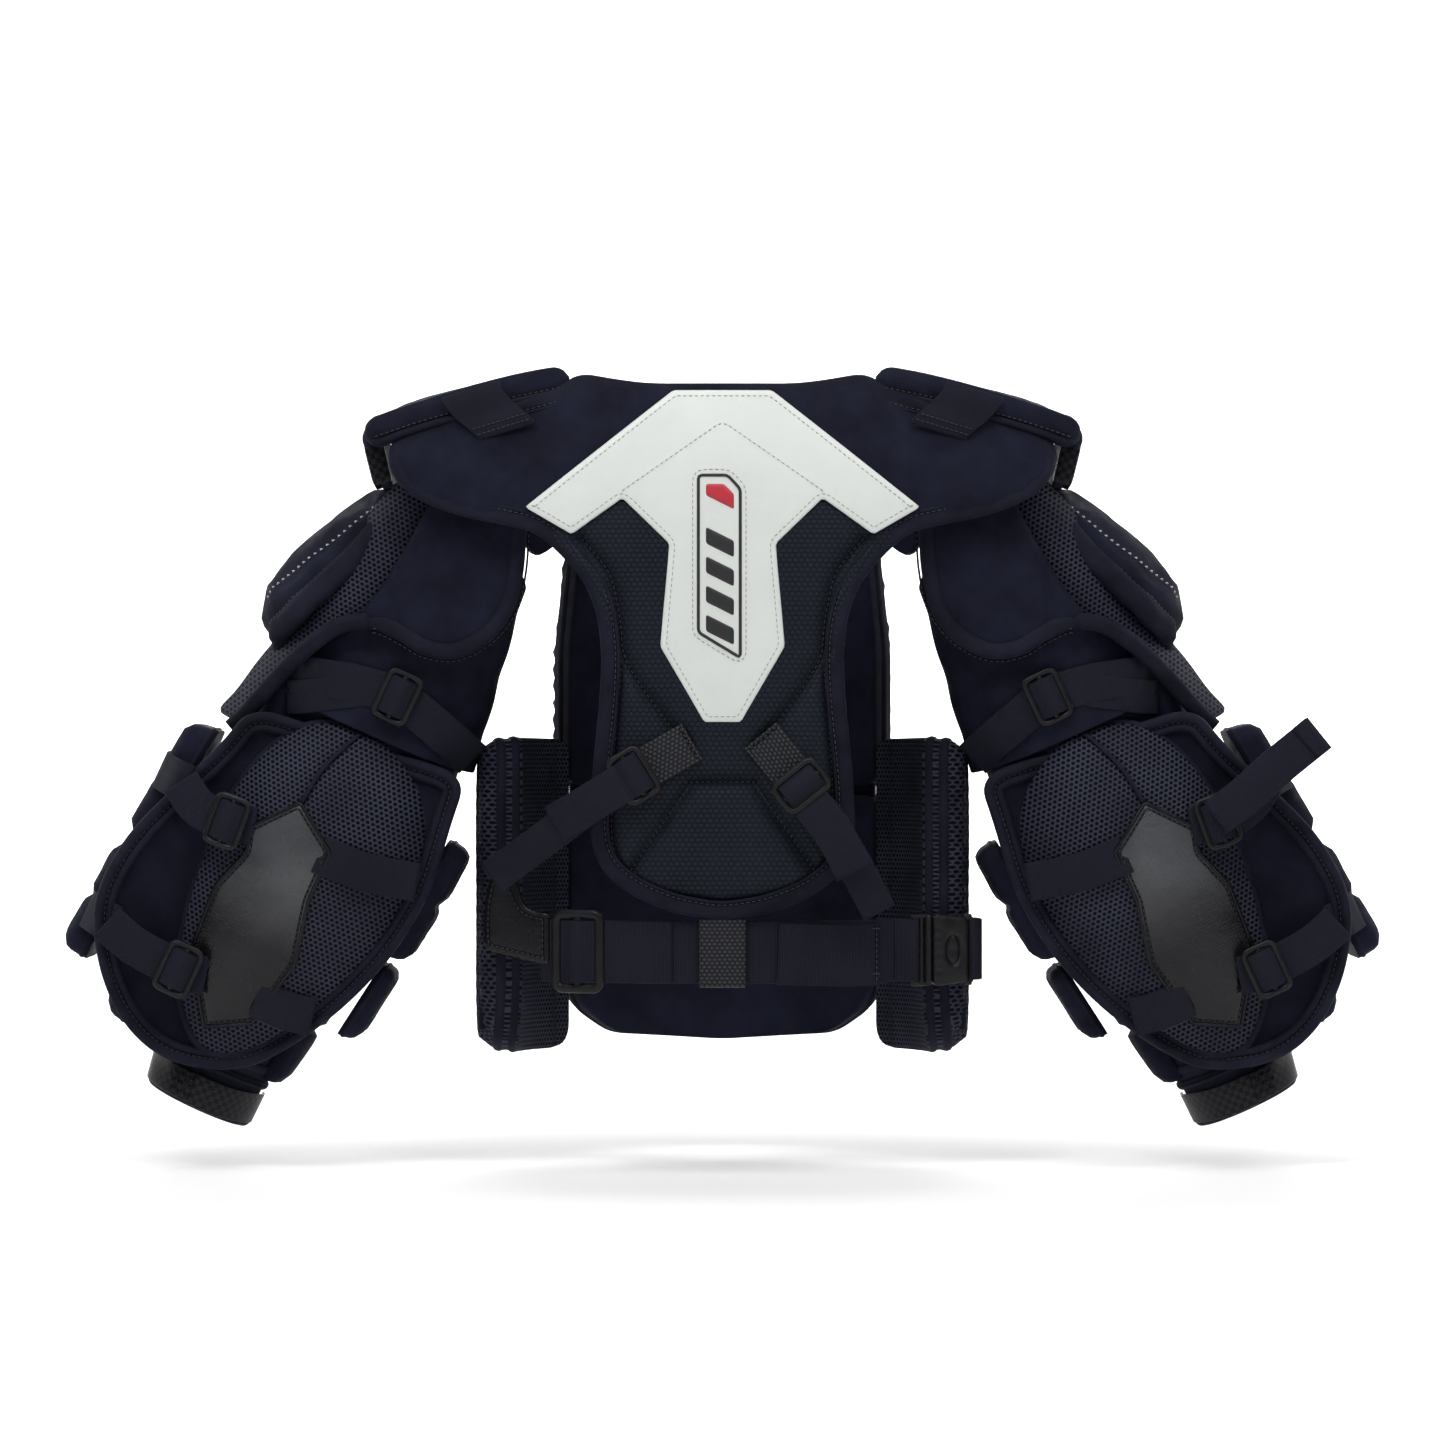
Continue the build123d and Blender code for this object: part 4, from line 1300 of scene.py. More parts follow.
def make_belt(threads):
    band = Bag()
    strap(band, belt_place, [(-152, BELT_Z, -2.4), (0, BELT_Z, -2.4), (156, BELT_Z, -2.4)], 50, 2.4)
    strap(band, belt_place, [(44, BELT_Z - 1, 0.3), (96, BELT_Z - 3, 0.5), (128, BELT_Z - 3, 0.6)], 49, 2.2)
    strap(band, belt_place, [(-134, BELT_Z + 1, 0.4), (-112, BELT_Z, 1.0), (-84, BELT_Z, 0.3),
                             (-40, BELT_Z, 0.2)], 49, 2.0)
    ride(band.make("waist_belt_band", ELASTIC), "vest", "elastic_webbing", "waist_belt")
    for v in (BELT_Z + 18, BELT_Z - 18):
        stitches(threads, np.array([(122.0, v), (127, v)]), belt_place, 3.0)
    stitches(threads, np.array([(125.0, BELT_Z - 24), (125, BELT_Z + 20)]), belt_place, 3.1)

    keeper = Bag()
    profile = flat_profile(54, 2.2)
    line = curve([(-18, BELT_Z, 2.6), (0, BELT_Z, 3.2), (18, BELT_Z, 2.6)], 3, False)
    grid = np.stack([belt_place(line[:, 0], line[:, 1] + w, line[:, 2] + o) for w, o in profile], axis=1)
    keeper.add(*grid_bit(grid))
    for v in (BELT_Z + 26, BELT_Z - 26):
        line = segment((-18.0, v), (18, v), 3)
        keeper.add(*along_surface(line, belt_place, tube_profile(4.0, 9.5, -5)))
    ride(keeper.make("belt_keeper_loop", COARSE), "vest", "coarse_webbing", "belt_keeper")

    frame_bag, fold = Bag(), Bag()
    tri_glide(frame_bag, belt_place, -117, BELT_Z, 0, 50, 1.2, bar=7.5, slot=11)
    loop_over(fold, belt_place, -117, BELT_Z, 0, 49, 1.0, reach=17)
    ride(frame_bag.make("waist_slider_frame", PLASTIC), "waist_slider", "moulded_plastic", "waist_slider")
    ride(fold.make("waist_slider_fold", ELASTIC), "waist_slider", "elastic_webbing")

    tab_place = plane_place((-169, -53.5, -430), (0.9, -0.42, 0), (-0.42, -0.9, 0))
    outline = rounded([(-24, -26), (35, -38), (35, 3), (11, 7), (0, 38), (-14, 44), (-24, 12)],
                      [8, 3, 3, 12, 4, 4, 14], 3)
    tab = Bag()
    tab.add(*pad_bit(outline, tab_place, lambda uv, e: 2.0 + 2.2 * (1 - np.exp(-e / 4)), step=5, under=-2))
    ride(tab.make("belt_side_vinyl", VINYL), "vest", "gloss_vinyl", "belt_side_tab")
    stitches(threads, shifted(anticlockwise(outline), 5), tab_place, 4.2, closed=True)


def make_buckle():
    """The buckle's plug, housing and oval button."""
    x = np.array([0.94, 0.34, 0]) / math.hypot(0.94, 0.34)
    place = plane_place((176, -55.5, BELT_Z), x, (0.34, -0.94, 0))
    housing = Bag()
    window = rounded([(1, -13), (15, -13), (15, 13), (1, 13)], 7, 2)

    def shell(uv, edge):
        dip = np.clip(1 - np.hypot((uv[:, 0] - 8) / 8.2, (uv[:, 1]) / 14.2), 0, 0.35) / 0.35
        rib = 0.5 * np.cos(uv[:, 1] * 0.9) * (np.abs(uv[:, 0] + 6) < 2.5)
        return 6.2 - 3.6 * dip + rib - 2.2 * np.exp(-edge / 2.2)

    outline = rounded([(-9, -29), (21, -26), (21, 26), (-9, 29)], 6, 2)
    housing.add(*pad_bit(outline, place, shell, step=2.4, seams=[window], under=-6))
    rail = segment((24.5, -26.0), (24.5, 26), 3)
    housing.add(*along_surface(rail, place, tube_profile(4.6, 4.6, -2.3)))
    for v in (-26.5, 26.5):
        arm = segment((18.0, v * 0.97), (25, v), 3)
        housing.add(*along_surface(arm, place, tube_profile(4.6, 4.6, -2.3)))
    ride(housing.make("buckle_housing_shell", PLASTIC), "buckle_housing", "moulded_plastic", "buckle_female")

    button = Bag()
    turns = np.linspace(0, 2 * math.pi, 40)[:-1]
    oval = np.array([(8 + 6.4 * math.cos(t), 12.2 * math.sin(t)) for t in turns])

    def dished(uv, edge):
        return 3.4 + 2.6 * (1 - np.exp(-edge / 1.8)) - 0.9 * np.exp(-(uv[:, 1] / 5) ** 2)

    button.add(*pad_bit(oval, place, dished, step=1.8, under=2.6))
    ride(button.make("buckle_button_oval", PLASTIC), "buckle_button", "moulded_plastic", "buckle_button")

    plug = Bag()
    tongue = rounded([(-12, -22), (5, -21), (5, 21), (-12, 22)], 2, 2)
    plug.add(*pad_bit(tongue, place, lambda uv, e: -0.8 + 0 * e, step=5, under=-3.2))
    flange = segment((-13.0, -28), (-13, 28), 3)
    plug.add(*along_surface(flange, place, tube_profile(6, 10.5, -5)))
    for u in (-18.5, -25):
        bar = segment((float(u), -28), (u, 28), 3)
        plug.add(*along_surface(bar, place, tube_profile(3.6, 5, -2)))
    for v in (-27, 27):
        bar = segment((-26.0, v), (-12, v), 3)
        plug.add(*along_surface(bar, place, tube_profile(3.6, 5, -2)))
    ride(plug.make("buckle_plug", PLASTIC), "vest", "moulded_plastic", "buckle_male")

    web = Bag()
    path = [(136, -69, BELT_Z), (148, -66.5, BELT_Z), (156, -63.5, BELT_Z)]
    web.add(*in_space(curve(path, 3, False), (0.34, -0.94, 0), flat_profile(49, 2.2)))
    ride(web.make("buckle_web", ELASTIC), "vest", "elastic_webbing")
    path = [(199, -49, BELT_Z), (206, -42, BELT_Z), (206, -26, BELT_Z), (203, -8, BELT_Z)]
    web = Bag()
    web.add(*in_space(curve(path, 3, False), (0.94, -0.34, 0), flat_profile(49, 2.2)))
    ride(web.make("buckle_housing_web", ELASTIC), "buckle_housing", "elastic_webbing")


BACK_STRAPS = {
    "left": {"path": [(-66, -130.6, -314), (-78, -130.5, -321), (-96, -128.5, -333), (-142, -100, -367),
                      (-184, -66, -398)],
             "slider": (-70, -132.4, -316), "anchor": [(-24, -289), (-64, -312)],
             "tail": [(-76, -132.4, -320), (-100, -131, -335), (-132, -110, -354)]},
    "right": {"path": [(62, -130.6, -324), (72, -130, -338), (84, -128.5, -352), (104, -122, -386),
                       (124, -112, -424)],
              "slider": (62, -132.4, -324), "anchor": [(30, -284), (58, -318)],
              "tail": [(68, -131, -336), (88, -133, -362), (104, -130, -392)]},
}


def make_back_straps(threads):
    for name, data in BACK_STRAPS.items():
        band = Bag()
        band.add(*in_space(curve(data["path"], 4, False), (0, -1, 0), flat_profile(28, 2.0)))
        band.add(*in_space(curve(data["tail"], 4, False), (0, -1, 0), flat_profile(31, 2.0, 1.2)))
        ride(band.make(f"back_strap_band_{name}", ELASTIC), "vest", "elastic_webbing", f"back_strap_{name}")

        (x0, z0), (x1, z1) = data["anchor"][0], data["path"][2][::2]
        angle = math.degrees(math.atan2(z1 - z0, x1 - x0))
        place = plane_place((0, data["slider"][1], 0), (1, 0, 0), (0, -1, 0))
        u, v = data["slider"][0], data["slider"][2]
        frame_bag, fold = Bag(), Bag()
        tri_glide(frame_bag, place, u, v, angle, 32, -1.0)
        loop_over(fold, place, u, v, angle, 31, -1.2)
        ride(frame_bag.make(f"back_slider_frame_{name}", PLASTIC), f"back_slider_{name}", "moulded_plastic",
             f"back_slider_{name}")
        ride(fold.make(f"back_slider_fold_{name}", ELASTIC), f"back_slider_{name}", "elastic_webbing")

        anchor = Bag()
        (a0, b0), (a1, b1) = data["anchor"]
        line = segment((a0, b0), (a1, b1), 3)
        anchor.add(*along_surface(line, back_place, flat_profile(33, 2.4, 15.4)))
        ride(anchor.make(f"back_anchor_{name}", COARSE), "vest", "coarse_webbing")
        across = side_normals(line, False)[0]
        for spot in (line[1], line[-2]):
            stitches(threads, np.array([spot - across * 14, spot + across * 14]), back_place, 18.2, thick=0.7)


# ================================================================ shoulder caps and floaters

CAP_TILT = math.radians(14)


def cap_xyz(x, y, z):
    """The right cap's own frame: x down its slope, y forwards, z off it."""
    c, s = math.cos(CAP_TILT), math.sin(CAP_TILT)
    return np.stack([118 + x * c + z * s, y + 0 * x, -7 - x * s + z * c], axis=1)


def cap_place(u, v, out):
    """The cap's arched underside: u down the slope, v from the back edge to the front edge."""
    rise = np.sqrt(np.clip(1 - (v / 100.0) ** 2, 0, 1))
    return cap_xyz(u, 5 + (82 + out) * v / 100.0, (5 + out) * rise)


def sausage(path, facing, width, thickness, blunt=12.0, count=14):
    """A stuffed roll along a path in space, closed by rounded ends."""
    path = resample(np.asarray(path, float), 3.5, False)
    s = np.concatenate([[0], np.cumsum(np.linalg.norm(np.diff(path, axis=0), axis=1))])
    ends = np.minimum(s, s[-1] - s)
    scale = np.sqrt(np.clip(1 - (1 - np.clip(ends / blunt, 0.03, 1)) ** 2, 0, 1))
    across, out = sweep_axes(path, facing)
    profile = tube_profile(width, thickness, -thickness / 2, count)
    grid = np.stack([path + across * (a * scale)[:, None] + out * (o * scale)[:, None]
                     for a, o in profile], axis=1)
    return grid_bit(grid)


def make_caps(threads):
    body = Bag()
    loop = rounded([(3, -91), (168, -91), (172, -60), (172, 70), (166, 94), (6, 96)], 20, 5)
    seams = [segment((10.0, -62), (166, -62)), curve([(150, -62), (152, 0), (150, 66)], 4, False)]
    profile = crown(15, 12, 3.5, 34, 3)
    height = quilted(profile, seams, 3.0, 4.0)

    body.add(*pad_bit(loop, cap_place, height, step=6, seams=seams))
    body.soften(growth=0.02, limit=3.5)
    for piece in both(body, "shoulder_cap_pad", NYLON, "cap", "black_nylon", "shoulder_cap"):
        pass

    roll = Bag()
    line = curve([(2, -85, 6), (40, -87, 8.5), (90, -87.5, 8), (140, -87, 5), (171, -84, 1)], 4, False)
    roll.add(*sausage(cap_xyz(*line.T), (0, -1, 0), 25, 15, 13))
    roll.add(*sausage(cap_xyz(np.array([169.0, 169, 167]), np.array([-80.0, 10, 88]), np.array([0.0, 5, 0])),
                      (1, 0, 0), 18, 11, 9))
    for piece in both(roll, "shoulder_cap_roll", NYLON, "cap", "black_nylon"):
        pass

    edge = Bag()
    low = curve([(6, -93.2, -1.5), (60, -95, -0.5), (120, -94.5, -2), (166, -91, -5)], 4, False)
    edge.add(*in_space(cap_xyz(*low.T), (0, -1, 0), tube_profile(5, 4, -2)))
    both(edge, "shoulder_cap_piping", BINDING, "cap", "black_nylon")

    def on_roll(u, v, out):
        return cap_xyz(u, -94.8 - out + 0 * v, v)

    stitch_line = curve([(10, 1.5), (60, 3.2), (120, 2.4), (164, -1)], 3, False)
    stitches(threads, stitch_line, on_roll, -0.2)

    def end_place(u, v, out):
        return cap_xyz(160 + out, u, v)

    skirt = Bag()
    outline = rounded([(-66, 2), (-64, -40), (70, -42), (76, 2)], 12, 5)
    seam = [segment((-60.0, -14), (70, -14))]
    wall = crown(12, 7, 2.0, 18, 3)
    skirt.add(*pad_bit(outline, end_place, lambda uv, edge: wall(edge) - groove(uv, seam, 2.5, 3),
                       step=6, seams=seam))
    for piece in both(skirt, "shoulder_cap_skirt", NYLON, "cap", "black_nylon"):
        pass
    corner = Bag()
    outline = rounded([(-67, -2), (-67, -36), (-38, -40), (-34, -4)], 6, 3)
    corner.add(*pad_bit(outline, end_place, lambda uv, edge: 14.2 + 1.4 * (1 - np.exp(-edge / 3)),
                        step=4, under=10))

    def corner_back(u, v, out):
        return cap_xyz(u, -65.5 - out, v)

    outline = rounded([(159, -3), (159.5, -37), (173, -38), (173.5, -3)], 3, 2)
    corner.add(*pad_bit(outline, corner_back, lambda uv, edge: 1.0 + 1.2 * (1 - np.exp(-edge / 2)),
                        step=4, under=-2))
    both(corner, "shoulder_cap_corner", CARBON, "cap", "gloss_vinyl")


def make_cap_tabs():
    """The stitched squares of webbing that tie each cap to its wing."""
    for side in (RIGHT, LEFT):
        bag = Bag()
        low = back_place(np.array([174.0]), np.array([-39.0]), np.array([14.0]))[0]
        middle = back_place(np.array([186.0]), np.array([-29.0]), np.array([16.0]))[0]
        path = np.array([[199, -99.5, -10.5], [197, -101.6, -17],
                         [middle[0], min(middle[1], -101.5), middle[2]],
                         [176, low[1] - 0.8, -37], [low[0] - 4, low[1] + 0.3, low[2] - 4]])
        line = curve(path, 2.5, False)
        tangent = np.gradient(line, axis=0)
        across = np.array([-0.95, -0.12, 0.28])
        out = np.cross(tangent, across)
        out /= np.linalg.norm(out, axis=1)[:, None]
        out *= -np.sign(out[:, 1:2])
        out = -out if out[0, 1] > 0 else out
        profile = flat_profile(48, 2.6)
        bag.add(*grid_bit(np.stack([line + across * a + out * o for a, o in profile], axis=1)))
        tab = bag.make(f"cap_tab_{SIDE_NAMES[side]}", ELASTIC, side)
        if side == RIGHT:
            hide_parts("cap_tabs")
        sewn = Bag()
        top = line + out * 3.0
        for k in range(1, 3):
            row = top[-1 - 2 * k]
            for a in np.arange(-20.0, 21, 4):
                ends = np.array([row + across * (a - 1.4), row + across * (a + 1.4)])
                sewn.add(*in_space(ends, out[-1 - 2 * k], tube_profile(0.9, 0.9, -0.4, 6)))
        seam = sewn.make(f"cap_tab_stitches_{SIDE_NAMES[side]}", BLACK_THREAD, side)
        for piece in (seam, tab):
            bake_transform(piece)


def make_floaters(threads):
    """The stiff cap outside the upper arm, with a stuffed edge and a row of light stitches."""
    place = around_arm(FLOATER)
    loop = rounded([(arc(-46), -40), (arc(-30), -24), (arc(60), -24), (arc(82), -62), (arc(80), -150),
                    (arc(50), -180), (arc(-8), -181), (arc(-36), -150), (arc(-48), -100)], 18, 5)
    seams = [curve([(arc(34), -26), (arc(36), -100), (arc(32), -172)], 4, False)]
    profile = crown(15, 10, 3.0, 26, 3)

    def height(uv, edge):
        return np.maximum(profile(edge) - groove(uv, seams, 3.5, 4), 2) - 14

    bag = Bag()
    bag.add(*pad_bit(loop, place, height, step=6, seams=seams, under=-14))
    bag.soften(growth=0.02, limit=3.0)
    for piece in both(bag, "floater_pad", NYLON, "floater", "black_nylon", "biceps_floater"):
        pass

    edge = Bag()
    rear = curve([(arc(-34), -22), (arc(-46), -40), (arc(-49), -70), (arc(-48), -104), (arc(-38), -148),
                  (arc(-16), -178)], 4, False)
    edge.add(*sausage(place(*rear.T, np.full(len(rear), -7.0)), (0, -1, 0.1), 20, 14, 10))
    foot = curve([(arc(-22), -174), (arc(0), -183), (arc(40), -182), (arc(76), -160)], 4, False)
    edge.add(*sausage(place(*foot.T, np.full(len(foot), -6.0)), (1, 0, 0), 13, 12, 9))
    for piece in both(edge, "floater_roll", BINDING, "floater", "black_nylon"):
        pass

    dots = curve([(arc(-38), -44), (arc(-36), -80), (arc(-28), -118), (arc(-14), -150)], 4, False)
    light = Bag()
    stitches(light, dots, place, 4.0, pitch=5.5, length=2.0, thick=1.2)
    both(light, "floater_dots", LIGHT_THREAD, "floater", "black_nylon")
    stitches(threads, shifted(rear, 6, False), place, -0.5)


# ================================================================ elbow sleeve and side pads

def gusset_place(u, v, out):
    """The sleeve tube through the elbow: wide at the back, close to the arm in front."""
    angle = u / ARM_ARC
    back = np.clip(-np.sin(angle), 0, 1) ** 0.7
    h = -v
    wide = 60 + 24 * back + out
    deep = 50 + 9 * back + out
    return arm_xyz(-8 + 6 * (1 - back) + wide * np.cos(angle), 1 + deep * np.sin(angle), h)


def make_elbow_sleeve():
    """The stretch sleeve that carries the forearm on the upper arm, built with fixed folds round the elbow
    and baked in place, riding on no body.
    """
    levels_h = np.linspace(196, 330, 34)
    angles = np.linspace(0, 2 * math.pi, 73)[:-1]
    u = angles * ARM_ARC
    for side in (RIGHT, LEFT):
        bag, grid = Bag(), []
        for offset, rows in ((0.0, levels_h), (-1.6, levels_h[::-1])):
            for h in rows:
                fold = 2.2 * math.sin((h - 196) / 134 * math.pi * 7)
                ring_out = np.full(len(u), offset) + fold * (0.35 + 0.65 * np.clip(np.sin(angles), 0, 1))
                ring_out += 1.2 * np.sin(angles * 5 + h * 0.05)
                grid.append(gusset_place(u, np.full(len(u), -h), ring_out))
        bag.add(*grid_bit(np.array(grid), close_n=True, caps=False))
        end = SIDE_NAMES[side]
        sleeve = bag.make(f"elbow_sleeve_{end}", NYLON_DEEP, side)
        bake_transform(sleeve)


def beside_arm(a_high, a_low, h_high, h_low, outer):
    """A flat place surface beside the forearm: u is y, v is -h and out is away from the arm."""
    def place(u, v, out):
        h = -v
        a = a_high + (a_low - a_high) * (h - h_high) / (h_low - h_high)
        return arm_xyz(a + outer * out, u * outer, h)
    return place


SIDE_PADS = [
    ("outer_upper", "outer_pads", 1, (100, 110), (262, 366), (-46, 50), 22, 30),
    ("outer_middle", None, 1, (114, 121), (374, 474), (-39, 46), 20, 0),
    ("outer_wrist", None, 1, (83, 69), (458, 508), (-33, 38), 15, 0),
    ("inner_upper", "inner_pads", -1, (-108, -98), (264, 370), (-38, 42), 17, 30),
    ("inner_middle", None, -1, (-101, -92), (378, 444), (-34, 42), 13, 0),
]


def make_side_pads():
    for name, node, outer, (a_high, a_low), (h_high, h_low), (y0, y1), thick, cut in SIDE_PADS:
        place = beside_arm(a_high, a_low, h_high, h_low, outer)
        slant = cut * 0.9
        if outer > 0:
            corners = [(y0, -h_high), (20, -h_high), (y1, -h_high - slant), (y1, -h_low), (y0, -h_low)]
        else:
            y0, y1 = -y1, -y0
            corners = [(y0, -h_high - slant), (-20, -h_high), (y1, -h_high), (y1, -h_low), (y0, -h_low)]
        loop = rounded(corners, 14, 4)
        middle = (h_high + h_low) / 2
        seams = [segment((y0 + 8.0, -middle), (y1 - 8, -middle))] if thick > 14 else []
        profile = crown(thick, 8, 3.0, 16, 4)
        height = quilted(profile, seams, 3.0, 3.5)

        bag = Bag()
        bag.add(*pad_bit(loop, place, height, step=6, seams=seams, under=-2))
        bag.soften(growth=0.02, limit=3.0)
        nodes = [node] if node else []
        for piece in both(bag, f"forearm_{name}_pad", NYLON, "forearm", "black_nylon", *nodes):
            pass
        edge = Bag()
        ring = anticlockwise(loop)
        edge.add(*along_surface(shifted(ring, 1.5), place, tube_profile(5, 5, 0), closed=True))
        both(edge, f"forearm_{name}_piping", BINDING, "forearm", "black_nylon")


def ring_band(place, v_low, v_high, low, high, soft=2.0, around=2 * math.pi * ARM_ARC):
    """A closed band round the arm between two levels."""
    u = np.linspace(0, around, 73)[:-1]
    profile = flat_profile(v_high - v_low, high - low, low, min(0.45, soft / (high - low)))
    middle = (v_low + v_high) / 2
    grid = np.stack([place(u, np.full(len(u), middle - a), np.full(len(u), o)) for a, o in profile], axis=1)
    return grid_bit(grid, close_n=True)


def make_cuffs():
    place = around_arm(CUFF)
    bag = Bag()
    bag.add(*ring_band(place, -544, -470, 0.5, 6.5, 3))
    bag.add(*ring_band(place, -500, -492, 3, 9, 3))
    bag.add(*ring_band(place, -513, -505, 2, 11, 4))
    bag.add(*ring_band(place, -546, -539, 1, 10, 4))
    for piece in both(bag, "wrist_cuff_knit", BINDING, "forearm", "black_nylon", "wrist_cuff"):
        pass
    strap_bag = Bag()
    line = [(arc(-108), -530, 9.5), (arc(-90), -531, 10.5), (arc(-60), -531, 10.5), (arc(-10), -530, 9.6),
            (arc(30), -529, 9.2)]
    strap(strap_bag, place, line, 24, 2.0)
    line = [(arc(-84), -531, 12.2), (arc(-110), -531, 11.5), (arc(-150), -529, 9.6), (arc(-190), -528, 9.2)]
    strap(strap_bag, place, line, 26, 2.2)
    both(strap_bag, "cuff_tab_vinyl", CARBON, "forearm", "gloss_vinyl", "cuff_tab")
    dots = Bag()
    turns = np.linspace(0, 2 * math.pi, 9)[:-1]
    for row in (-537.5, -531, -524.5):
        for k in range(12):
            u = arc(-104) + k * 5.2 + (2.6 if row == -531 else 0)
            spot = np.array([u, row])
            ring = np.array([spot + 1.3 * np.array([math.cos(t), math.sin(t)]) for t in turns])
            dots.add(*small_disc(ring, place, 13.2, 14.2))
    both(dots, "cuff_tab_dots", VINYL, "forearm", "gloss_vinyl")


def small_disc(ring, place, low, high):
    """A tiny raised disc."""
    centre = ring.mean(0)
    rows = [ring, centre + (ring - centre) * 0.8, centre + (ring - centre) * 0.35]
    outs = [low, high - 0.25, high]
    grid = np.stack([place(*r.T, np.full(len(r), o)) for r, o in zip(rows, outs)])
    return grid_bit(grid)


# ================================================================ front and sides of the vest

VEST_ARC = 160.0             # u per radian round the vest
VEST_HALF_WIDTH = 199.0      # the vest's half width, with its padding


def vest_place(u, v, out):
    """The vest's inner face: u runs from the breastbone towards the right arm, v is z."""
    angle = u / VEST_ARC
    return np.stack([(166 + out) * np.sin(angle), (120 + out) * np.cos(angle), v + 0 * u], axis=1)


def vest_u(x):
    return VEST_ARC * math.asin(max(-1, min(1, x / VEST_HALF_WIDTH)))


def make_side_panels():
    """The mesh rib pads with their upright piping."""
    u0, u1 = vest_u(152), VEST_ARC * math.radians(104)
    loop = rounded([(u0, -289), (u1, -286), (u1 - 1, -500), (u1 - 22, -541), (u0, -541)],
                   [12, 14, 34, 34, 20], 5)
    pipes = [segment((u, -294.0), (u, v)) for u, v in ((u0 + 48, -536), (u1 - 24, -522))]
    profile = crown(31, 13, 3, 26, 5)
    height = quilted(profile, pipes, 5, 4, 3)

    bag = Bag()
    bag.add(*pad_bit(loop, vest_place, height, step=7, seams=pipes))
    bag.soften(growth=0.015, limit=3.0)
    uv = np.vstack(bag.uvs)
    spot = np.vstack(bag.verts)[np.concatenate([list(face) for face in bag.faces])]
    depth = 31 - (np.hypot(spot[:, 0] / 199, spot[:, 1] / 153) - 166 / 199) * 199
    bag.uvs = [uv - np.outer(np.where(uv[:, 0] < u0 + 18, depth, 0), (1, 0))]
    edge = Bag()
    ring = anticlockwise(loop)
    edge.add(*along_surface(shifted(ring, 3.5), vest_place, tube_profile(8, 9, 12), closed=True))
    edge.add(*along_surface(shifted(ring, 2.0), vest_place, tube_profile(7, 8, 1), closed=True))
    for line in pipes:
        edge.add(*along_surface(line, vest_place, tube_profile(4.5, 5, 27.0)))
    for side in (RIGHT, LEFT):
        end = SIDE_NAMES[side]
        pad = ride(bag.make(f"side_panel_{end}", MESH, side), "vest", "spacer_mesh", f"side_pad_{end}")
        ride(edge.make(f"side_panel_piping_{end}", BINDING, side), "vest", "black_nylon")


def make_chest():
    """The quilted front blocks and the raised breastbone guard."""
    top = [(0, -110), (vest_u(42), -102), (vest_u(74), -80), (vest_u(116), -84), (vest_u(140), -130),
           (vest_u(149), -215), (vest_u(149), -326), (0, -327)]
    loop = rounded(mirrored(top), 12, 6)
    seams = [segment((-118.0, v), (118, v)) for v in (-178, -252)]
    seams += [segment((u, -120.0), (u, -322)) for u in (-62.0, 62)]
    profile = crown(32, 12, 3, 26, 5)
    height = quilted(profile, seams, 8, 5, 3)

    bag = Bag()
    bag.add(*pad_bit(loop, vest_place, height, step=8, seams=seams))
    bag.soften(growth=0.015, limit=4.0)
    ride(bag.make("chest_block", NYLON), "vest", "black_nylon", "chest_pad")

    low = [(0, -334), (vest_u(149), -334), (vest_u(149), -470), (vest_u(136), -510), (vest_u(104), -532),
           (0, -538)]
    loop = rounded(mirrored(low), 12, 6)
    seams_low = [segment((-128.0, v), (128, v)) for v in (-400, -468)]
    seams_low += [segment((u, -340.0), (u, -530)) for u in (-62.0, 0, 62)]
    height_low = quilted(profile, seams_low, 8, 5, 3)

    bag = Bag()
    bag.add(*pad_bit(loop, vest_place, height_low, step=8, seams=seams_low))
    bag.soften(growth=0.015, limit=4.0)
    ride(bag.make("belly_block", NYLON), "vest", "black_nylon", "belly_pad")

    guard = [(0, -126), (vest_u(46), -120), (vest_u(70), -150), (vest_u(62), -250), (vest_u(36), -299),
             (0, -311)]
    loop = rounded(mirrored(guard), 10, 5)
    rib = [segment((-40.0, v), (40, v)) for v in (-180, -232)]
    shell = crown(13, 6, 1.5, 14, 2)
    bag = Bag()
    bag.add(*pad_bit(loop, vest_place, lambda uv, edge: 33 + shell(edge) - groove(uv, rib, 2.5, 3),
                     step=6, seams=rib, under=32))
    ride(bag.make("breastbone_guard", SCALES), "vest", "textured_nylon", "sternum_guard")
    edge = Bag()
    ring = anticlockwise(loop)
    edge.add(*along_surface(shifted(ring, 1.5), vest_place, tube_profile(6, 7, 33), closed=True))
    for block in (mirrored(top), mirrored(low)):
        ring = anticlockwise(rounded(block, 12, 5))
        edge.add(*along_surface(shifted(ring, 3.5), vest_place, tube_profile(8, 9, 10), closed=True))
    ride(edge.make("front_piping", BINDING), "vest", "black_nylon")
    hinge = Bag()
    outline = rounded([(-130, -346), (130, -346), (130, -314), (-130, -314)], 4, 6)
    hinge.add(*pad_bit(outline, vest_place, lambda uv, e: 9 + 0 * e, step=7, under=5))
    ride(hinge.make("front_hinge_cloth", NYLON_DEEP), "vest", "black_nylon")


